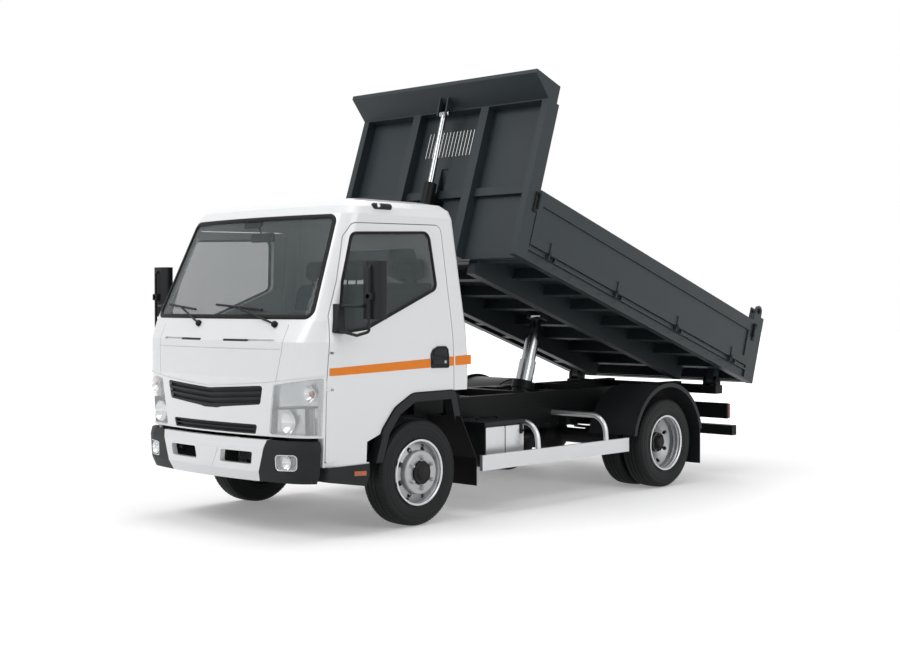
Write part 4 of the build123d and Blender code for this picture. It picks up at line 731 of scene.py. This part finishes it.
def bowl(centre, radius, deep):
    """Reflector bowl: a parabola turned about the lamp's axis, with a thin back."""
    ring = np.linspace(0, radius, 12)
    front = np.stack((deep * (ring / radius) ** 2 - deep, ring), -1)
    back = np.stack((front[::-1, 0] - 0.004, front[::-1, 1]), -1)
    return lathe(np.concatenate((front, back)), centre, FORWARD, 48)


def ribs(across, up, height, count, surface):
    """Upright moulded ribs of a lens, each a slim slab on the lens's inner face."""
    shapes = []
    for a in np.linspace(*across, count):
        line = rounded(rect((a - .004, a + .004), up, .003), 3)
        shapes.append(slab(line, height - 0.005, height, 0.002, surface, 2))
    return shapes


def lens_skin(surface):
    """Clear lens: straight lines from its leaning inner edge to its outer edge, on a top edge that
    rises outwards, as two grids a wall apart."""
    a, b = np.meshgrid(np.linspace(0, 1, 24), np.linspace(0, 1, 20), indexing="ij")
    y = (1 - a) * (0.574 + 0.048 * b) + a * (0.940 + 0.006 * b)
    z = LENS_LOW + b * (LENS_HIGH + (y - 0.622) * LENS_RISE - LENS_LOW)
    return shell_of(surface(y, z, -0.003), surface(y, z, -0.0055))


def head_lamp(label, side):
    """Headlamp: housing, dividing bars, bowls, indicator bulb, ribs and lens."""
    skin = mirrored(on_cab_front, side)
    outline = finer(rounded(LAMP, 5), 0.03)
    house = [slab(outline, -0.080, -0.062, 0.004, skin, 2), band(outline, 0.006, -0.075, -0.004, skin)]
    put(f"lamp_house_{label}", house, LINING, "cab", None, hides=("headlamps",) if side > 0 else ())
    bars = [slab(rounded(bar, 3), -0.060, -0.010, 0.002, skin, 2) for bar in LAMP_BARS]
    put(f"lamp_bars_{label}", bars, CHARCOAL, "cab", "charcoal")
    lit = [bowl(skin(np.array(y), np.array(z), -0.022), radius, 0.035) for y, z, radius in LAMP_BOWLS]
    put(f"lamp_bowls_{label}", lit, MIRROR, "cab", None, flat=50)
    spot = skin(np.array(BULB_Y), np.array(BULB_Z), -BULB_DEEP)
    put(f"indicator_{label}", [lathe(BULB, spot, FORWARD, 24)], AMBER, "cab", "lamp_amber")
    lines = [shape for row in LAMP_RIBS for shape in ribs(*row, skin)]
    put(f"lamp_ribs_{label}", lines, CLEAR, "cab", "lamp_glass")
    put(f"lamp_lens_{label}", [lens_skin(skin)], CLEAR, "cab", "lamp_glass")


def fog_lamp(label, side):
    """Fog lamp in the bumper: housing, bowl and flat lens."""
    skin = mirrored(on_bumper, side)
    outline = finer(rounded(FOG, 5), 0.03)
    house = [slab(outline, -0.060, -0.045, 0.004, skin, 2), band(outline, 0.008, -0.058, -0.002, skin)]
    put(f"fog_house_{label}", house, LINING, "chassis", "rim_silver",
        hides=("fog_lamps",) if side > 0 else ())
    y, z, radius = FOG_BOWL
    lit = bowl(skin(np.array(y), np.array(z), -0.016), radius, 0.026)
    put(f"fog_bowl_{label}", [lit], MIRROR, "chassis", None, flat=50)
    lens = slab(inset(outline, 0.006), -0.011, -0.008, 0.001, skin, 2)
    put(f"fog_lens_{label}", [lens], CLEAR, "chassis", "lamp_glass")


for LABEL, SIDE in SIDES:
    head_lamp(LABEL, SIDE)
    fog_lamp(LABEL, SIDE)


# Cab inside and small cab fittings

PAD_SHARES = (0.96, 0.90, 0.84, 0.82, 0.80, 0.78, 0.76, 0.68, 0.55, 0.40, 0.25, 0.10, 0.02)
SEAM_AT = 0.80
SEAM_DEEP = 0.008
SEAM_WIDE = 0.018
# Seats from left to right: label, limits across
SEATS = (("driver", (0.185, 0.755)), ("bench_middle", (-0.355, 0.055)), ("bench_outer", (-0.755, -0.360)))
# The seat back leans by a little over nine degrees
SEAT_BACK_FOOT = (1.395, 1.0)
SEAT_BACK_COS, SEAT_BACK_SIN = 0.986, 0.163
REST_HALF = 0.125
# Foot and head of the posts of a head rest: X, Z
POST_FOOT, POST_HEAD = (1.326, 1.66), (1.303, 1.80)
WIPER_CAP = ((-0.020, 0), (-0.020, 0.022), (0.004, 0.022), (0.010, 0.017), (0.013, 0.008), (0.014, 0))
WIPER_Y = (0.573, -0.209)
WIPER_Z = 1.418
ROOF_LAMP_Y, ROOF_LAMP_Z, ROOF_LAMP_RADIUS = 0.838, 2.216, 0.0235
ROOF_LAMP_END = ((0, 0), (0.004, 0.0235), (0.012, 0.021), (0.020, 0.013), (0.023, 0))
ROOF_LENS = ((0, 0), (0, 0.015), (0.004, 0.014), (0.007, 0.009), (0.008, 0))
MIRROR_PIVOT = ((0, 0), (0, 0.022), (0.010, 0.022), (0.014, 0.016), (0.014, 0))


def pad(corners, low, high, soft, crown, where):
    """Stuffed form: a rounded outline whose rim rolls over by soft, and above it a face that swells
    to crown in the middle as one minus the square of the share of the way out; a narrow groove
    in the shape of a bell curve follows the outline where the seam is."""
    line = finer(rounded(corners, 6), 0.03)
    turn = np.linspace(0, np.pi / 2, 6)
    insets = np.concatenate((soft * (1 - np.sin(turn)) * 0.5, soft * (1 - np.cos(turn))))
    heights = np.concatenate((low + soft * 0.5 * (1 - np.cos(turn)), high - soft * (1 - np.sin(turn))))
    loops = [where(*inset(line, way).T, height) for way, height in zip(insets, heights)]
    edge = inset(line, soft)
    middle = edge.mean(0)
    for share in PAD_SHARES:
        groove = SEAM_DEEP * np.exp(-((share - SEAM_AT) / SEAM_WIDE) ** 2)
        height = high + crown * (1 - share ** 2) - groove
        loops.append(where(*(middle + (edge - middle) * share).T, height))
    return closed_tube(np.stack(loops))


def on_seat_back(a, b, height):
    """Place on the leaning seat back: a across, b up along it, height forwards out of it."""
    a, b, height = np.broadcast_arrays(a, b, height)
    foot_x, foot_z = SEAT_BACK_FOOT
    x = foot_x - SEAT_BACK_SIN * b + SEAT_BACK_COS * height
    return np.stack((x, a, foot_z + SEAT_BACK_COS * b + SEAT_BACK_SIN * height), -1)


def seat_pieces():
    """Padded cushions, backs and head rests of the driver's seat and the double bench."""
    hidden = ("seats",)
    for label, across in SEATS:
        middle = sum(across) / 2
        rest = rect((middle - REST_HALF, middle + REST_HALF), (0.735, 0.885), 0.05)
        shapes = (
            ("cushion", pad(rect((1.415, 1.962), across, 0.06), 0.968, 1.078, 0.045, 0.022, flat_on("z"))),
            ("back", pad(rect(across, (0.045, 0.700), 0.07), 0.0, 0.090, 0.040, 0.020, on_seat_back)),
            ("rest", pad(rest, 0.005, 0.080, 0.035, 0.012, on_seat_back)))
        for part, shape in shapes:
            made = put(f"seat_{part}_{label}", [shape], CLOTH, "cab", "seat_cloth", flat=60, hides=hidden)
            hidden = ()
        posts = [pipe(((POST_FOOT[0], y, POST_FOOT[1]), (POST_HEAD[0], y, POST_HEAD[1])), 0.006)
                 for y in (middle - 0.05, middle + 0.05)]
        put(f"seat_posts_{label}", posts, BLACK, "cab", "chassis_black")


def cab_fittings():
    """Inner mirror, wiper pivots and nose vents."""
    outline = rounded(rect((-0.125, 0.125), (1.985, 2.050), 0.02), 5)
    mirror = slab(outline, 2.300, 2.322, 0.006, flat_on("x"))
    stalk = pipe(bent(((2.318, 0, 2.030), (2.335, 0, 2.075), (2.375, 0, 2.105)), 0.02), 0.007)
    put("inner_mirror", [mirror, stalk], CHARCOAL, "cab", "charcoal")
    spots = [on_cab_front(np.array(y), np.array(WIPER_Z), 0.014) for y in WIPER_Y]
    caps = [lathe(WIPER_CAP, spot, (0.9, 0, 0.45), 24) for spot in spots]
    put("wiper_caps", caps, BLACK, "cab", "chassis_black")
    slots = []
    for across in ((0.128, 0.365), (-0.365, -0.128)):
        line = finer(rounded(rect(across, (1.300, 1.314), 0.006), 4), 0.03)
        slots.append(slab(line, -0.004, 0.0006, 0.0005, on_cab_front, 2))
    put("nose_vents", slots, CHARCOAL, "cab", "charcoal")


def cab_side_fittings(label, side):
    """Roof marker lamp, and the pane and clamp of the outer mirror, on one side."""
    y = side * ROOF_LAMP_Y
    body = pipe(((1.878, y, ROOF_LAMP_Z), (2.022, y, ROOF_LAMP_Z)), ROOF_LAMP_RADIUS, 24)
    ends = [lathe(ROOF_LAMP_END, (x, y, ROOF_LAMP_Z), (way, 0, 0), 24)
            for x, way in ((2.018, 1), (1.882, -1))]
    put(f"roof_lamp_{label}", [body, *ends], CHARCOAL, "cab", "charcoal",
        hides=("roof_lamps",) if side > 0 else ())
    lens = lathe(ROOF_LENS, (1.998, side * 0.858, 2.222), (0.25, side * 0.93, 0.25), 24)
    put(f"roof_lens_{label}", [lens], LINING, "cab", "rim_silver")
    pane = slab(rounded(rect((side * 1.102, side * 1.246), (1.468, 1.810), 0.02), 6), 2.2985, 2.3045, 0.002,
                flat_on("x"), 3)
    put(f"mirror_pane_{label}", [pane], CHROME, f"{label}_door", "ram_chrome")
    pivot = lathe(MIRROR_PIVOT, (2.398, side * 1.186, 1.600), FORWARD, 24)
    clip = box_slab((2.372, 2.412), sorted((side * 1.160, side * 1.212)), (1.575, 1.625), 0.008)
    put(f"mirror_clamp_{label}", [pivot, clip], CHARCOAL, f"{label}_door", "charcoal")


seat_pieces()
cab_fittings()
for LABEL, SIDE in SIDES:
    cab_side_fittings(LABEL, SIDE)


# Load body fittings
# Places are in the body's own level frame: u forwards from its hinge, v up, y to the left.

POST_Y = 1.020
# Posts at the gate's ends: u, and the way from the post to the gate
GATE_POSTS = ((3.127, -1), (-0.166, 1))
LATCH_PIN = ((0, 0), (0, 0.014), (0.014, 0.014), (0.018, 0.010), (0.018, 0))
GATE_CAP = ((0, 0), (0, 0.026), (0.006, 0.026), (0.006, 0.018), (0.016, 0.018), (0.020, 0.012), (0.020, 0))
RAIL_Y, RAIL_V = 1.0195, 0.118
RAM_PIN_CAP = ((0.051, 0), (0.051, 0.024), (0.057, 0.024), (0.063, 0.019), (0.063, 0))


def gate_latches(side):
    """A plate, a catch and a pin on each post of one side gate."""
    outer = side * POST_Y
    shapes = []
    for u, way in GATE_POSTS:
        shapes.append(body_slab((u - 0.022, u + 0.022), (0.44, 0.60),
                                sorted((outer, outer + side * 0.012)), 0.006))
        shapes.append(body_slab(sorted((u + way * 0.004, u + way * 0.024)), (0.47, 0.60),
                                sorted((outer + side * 0.010, outer + side * 0.026)), 0.006))
        shapes.append(lathe(sided(LATCH_PIN, side), on_body(u, outer + side * 0.012, 0.585), turns=20))
    return shapes


def body_fittings():
    """Gate latches, caps on the rear gate's pins, strip along the floor's edge, bolts on the rails
    and the two end caps of the front ram's pin."""
    for label, side in SIDES:
        put(f"gate_latches_{label}", gate_latches(side), IRON, "load_body", "iron_dark")
        cap = lathe(sided(GATE_CAP, side), on_body(-0.205, side * 1.018, 0.735), turns=32)
        put(f"rear_gate_cap_{label}", [cap], IRON, "load_body", "iron_dark")
        strip = body_slab((-0.130, 3.092), (0.160, 0.193), sorted((side * 0.984, side * 1.012)), 0.003)
        put(f"floor_edge_{label}", [strip], GREY, "load_body", "body_grey")
        start, end = on_body(0.10, side * RAIL_Y, RAIL_V), on_body(2.95, side * RAIL_Y, RAIL_V)
        bolts = bolt_row(start, end, 15, (0, side, 0), 0.007, 0.005)
        put(f"rail_bolts_{label}", bolts, GREY, "load_body", "body_grey")
    pins = [lathe(sided(RAM_PIN_CAP, side), on_body(3.300, 0.0, 1.262), turns=32) for side in (1, -1)]
    put("front_ram_pin", pins, CHROME, "load_body", "ram_chrome")


# Chassis fittings

LATCH_RING = ((0, 0.006), (0, 0.014), (0.006, 0.016), (0.010, 0.014), (0.010, 0.006))
# Lenses of a tail lamp: label, paint, slot, limits across
TAIL_LENSES = (("reverse", CLEAR, "lamp_glass", (0.606, 0.694)),
               ("turn", AMBER, "lamp_amber", (0.702, 0.796)),
               ("stop", RED, "lamp_red", (0.804, 0.944)))
FILTER_CAN = ((0, 0), (0, 0.050), (0.012, 0.060), (0.150, 0.060), (0.156, 0.064), (0.172, 0.064),
              (0.180, 0.050), (0.180, 0))
FILTER_SPOT = (1.095, 0.690, 0.700)
AIR_HOSE = ((1.095, 0.690, 0.875), (1.095, 0.690, 0.930), (1.120, 0.560, 0.930), (1.135, 0.300, 0.850))
FEED_HOSE = ((1.050, 0.660, 0.730), (0.990, 0.560, 0.730), (0.960, 0.430, 0.700))
FUEL_CAP = ((0, 0), (0, 0.045), (-0.012, 0.045), (-0.024, 0.041), (-0.026, 0.030), (-0.026, 0))
BATTERY_HANDLE = ((0.60, 0.70, 0.668), (0.60, 0.70, 0.690), (0.82, 0.70, 0.690), (0.82, 0.70, 0.668))
FRAME_BOLT_Y, FRAME_BOLT_Z = 0.4205, 0.545


def chassis_fittings():
    """Battery box panels, latch and handle, frame bolts, tail lamp lenses, filter can with its
    hoses, and fuel cap."""
    panels = [slab(rounded(rect(x, (0.392, 0.630), 0.01), 4), 0.878, 0.888, 0.003, flat_on("y"))
              for x in ((0.497, 0.706), (0.716, 0.928))]
    put("battery_panels", panels, ALUMINIUM, "chassis", "guard_aluminium")
    plate = rounded(rect((0.512, 0.548), (0.560, 0.640), 0.01), 4)
    latch = [slab(plate, 0.886, 0.894, 0.003, flat_on("y")),
             lathe(LATCH_RING, (0.530, 0.893, 0.585), closed=True, turns=24)]
    put("battery_latch", latch, IRON, "chassis", "iron_dark")
    put("battery_handle", [pipe(bent(BATTERY_HANDLE, 0.02), 0.007)], BLACK, "chassis", "chassis_black")
    for label, side in SIDES:
        y = side * FRAME_BOLT_Y
        bolts = bolt_row((-2.10, y, FRAME_BOLT_Z), (1.00, y, FRAME_BOLT_Z), 26, (0, side, 0), 0.009, 0.007)
        put(f"frame_bolts_{label}", bolts, IRON, "chassis", "iron_dark")
        for lens, paint, slot, span in TAIL_LENSES:
            line = rounded(rect(sorted((side * span[0], side * span[1])), (0.512, 0.628), 0.012), 5)
            pane = slab(line, -2.353, -2.340, 0.004, flat_on("x"))
            put(f"tail_{lens}_{label}", [pane], paint, "chassis", slot)
    can = lathe(FILTER_CAN, FILTER_SPOT, (0, 0, 1), 40)
    hoses = [pipe(bent(AIR_HOSE, 0.06), 0.020, 16), pipe(bent(FEED_HOSE, 0.05), 0.012)]
    put("filter_can", [can, *hoses], BLACK, "chassis", "chassis_black")
    put("fuel_cap", [lathe(FUEL_CAP, (-0.240, -0.895, 0.560), turns=40)], BLACK, "chassis", "chassis_black")


body_fittings()
chassis_fittings()


# Stage, light and camera

FLOOR_COLOUR = (0.86, 0.86, 0.86, 1)
FLOOR_ROUGH = 0.7
FLOOR_FADE = {"From Min": 3.5, "From Max": 12.0, "To Min": 0.24, "To Max": 1.0}
WORLD_LIGHT = 0.30
PURE_WHITE = (1, 1, 1, 1)
# Soft lamps: name, place, aim, power in watts, size
LAMPS = (("key", (9.5, -1.5, 9.0), (1.0, 0.0, 1.0), 560, 6.0),
         ("side", (1.5, 10.5, 6.0), (0.5, 0.0, 1.0), 330, 6.0),
         ("top", (-1.0, 0.0, 10.0), (-0.5, 0.0, 0.0), 420, 8.0),
         ("back", (-9.0, -5.0, 7.0), (-1.0, 0.0, 1.0), 240, 6.0))
# The camera fitted to the photograph: its angles are below the level, its roll and its heading
PHOTO_PLACE = (8.4767, 7.631, 1.5656)
PHOTO_DOWN, PHOTO_ROLL, PHOTO_HEADING = 0.0252, 0.0005, -2.3861
PHOTO_LENS, PHOTO_SENSOR = 54.75, 36.0


def white_share():
    """Group: 1 for rays that should meet plain white, which are those of the camera, mirrors and glass."""
    tree, _, out = group("white share", (), (("Share", "NodeSocketFloat"),))
    path = tree.nodes.new("ShaderNodeLightPath")
    first = node(tree, "ShaderNodeMath", operation="ADD")
    second = node(tree, "ShaderNodeMath", operation="ADD", use_clamp=True)
    link = tree.links.new
    link(path.outputs["Is Camera Ray"], first.inputs[0])
    link(path.outputs["Is Glossy Ray"], first.inputs[1])
    link(first.outputs[0], second.inputs[0])
    link(path.outputs["Is Transmission Ray"], second.inputs[1])
    link(second.outputs[0], out.inputs["Share"])
    return tree


def studio_floor(share):
    """Pale floor that glows towards white with the distance from the truck, for the rays that
    the share counts; it keeps the truck's shadow."""
    bpy.ops.mesh.primitive_circle_add(vertices=96, radius=60, fill_type="NGON", location=(0, 0, 0))
    floor = bpy.context.object
    floor.name = "studio_floor"
    made = bpy.data.materials.new("studio floor")
    made.use_nodes = True
    tree = made.node_tree
    link = tree.links.new
    skin = tree.nodes["Principled BSDF"]
    skin.inputs["Base Color"].default_value = FLOOR_COLOUR
    skin.inputs["Roughness"].default_value = FLOOR_ROUGH
    place = tree.nodes.new("ShaderNodeTexCoord")
    far = node(tree, "ShaderNodeVectorMath", operation="LENGTH")
    fade = node(tree, "ShaderNodeMapRange", interpolation_type="SMOOTHSTEP")
    for label, value in FLOOR_FADE.items():
        fade.inputs[label].default_value = value
    white = tree.nodes.new("ShaderNodeGroup")
    white.node_tree = share
    glow = node(tree, "ShaderNodeMath", operation="MULTIPLY")
    link(place.outputs["Object"], far.inputs[0])
    link(far.outputs["Value"], fade.inputs["Value"])
    link(white.outputs["Share"], glow.inputs[0])
    link(fade.outputs["Result"], glow.inputs[1])
    skin.inputs["Emission Color"].default_value = PURE_WHITE
    link(glow.outputs[0], skin.inputs["Emission Strength"])
    floor.data.materials.append(made)


def white_world(share):
    """World that is plain white to the rays that the share counts and lights the truck with less."""
    world = bpy.data.worlds.new("studio")
    bpy.context.scene.world = world
    world.use_nodes = True
    tree = world.node_tree
    back = tree.nodes["Background"]
    back.inputs["Color"].default_value = PURE_WHITE
    white = tree.nodes.new("ShaderNodeGroup")
    white.node_tree = share
    lift = node(tree, "ShaderNodeMath", operation="MULTIPLY_ADD")
    lift.inputs[1].default_value = 1 - WORLD_LIGHT
    lift.inputs[2].default_value = WORLD_LIGHT
    tree.links.new(white.outputs["Share"], lift.inputs[0])
    tree.links.new(lift.outputs[0], back.inputs["Strength"])


def soft_lamps():
    """Square area lamps, each turned to its aim."""
    for name, spot, aim, power, size in LAMPS:
        light = bpy.data.lights.new(name, "AREA")
        light.energy = power
        light.size = size
        lamp = bpy.data.objects.new(name, light)
        lamp.location = spot
        lamp.rotation_euler = (Vector(aim) - Vector(spot)).to_track_quat("-Z", "Y").to_euler()
        bpy.context.collection.objects.link(lamp)


def photo_camera():
    """The camera at the photograph's place, angle and field of view."""
    data = bpy.data.cameras.new("photo")
    data.sensor_width = PHOTO_SENSOR
    data.lens = PHOTO_LENS
    data.clip_end = 200
    view = bpy.data.objects.new("photo", data)
    view.location = PHOTO_PLACE
    view.rotation_euler = (np.pi / 2 - PHOTO_DOWN, PHOTO_ROLL, PHOTO_HEADING - np.pi / 2)
    bpy.context.collection.objects.link(view)
    bpy.context.scene.camera = view


SHARE = white_share()
studio_floor(SHARE)
white_world(SHARE)
soft_lamps()
photo_camera()
bpy.context.scene.view_settings.view_transform = "Standard"
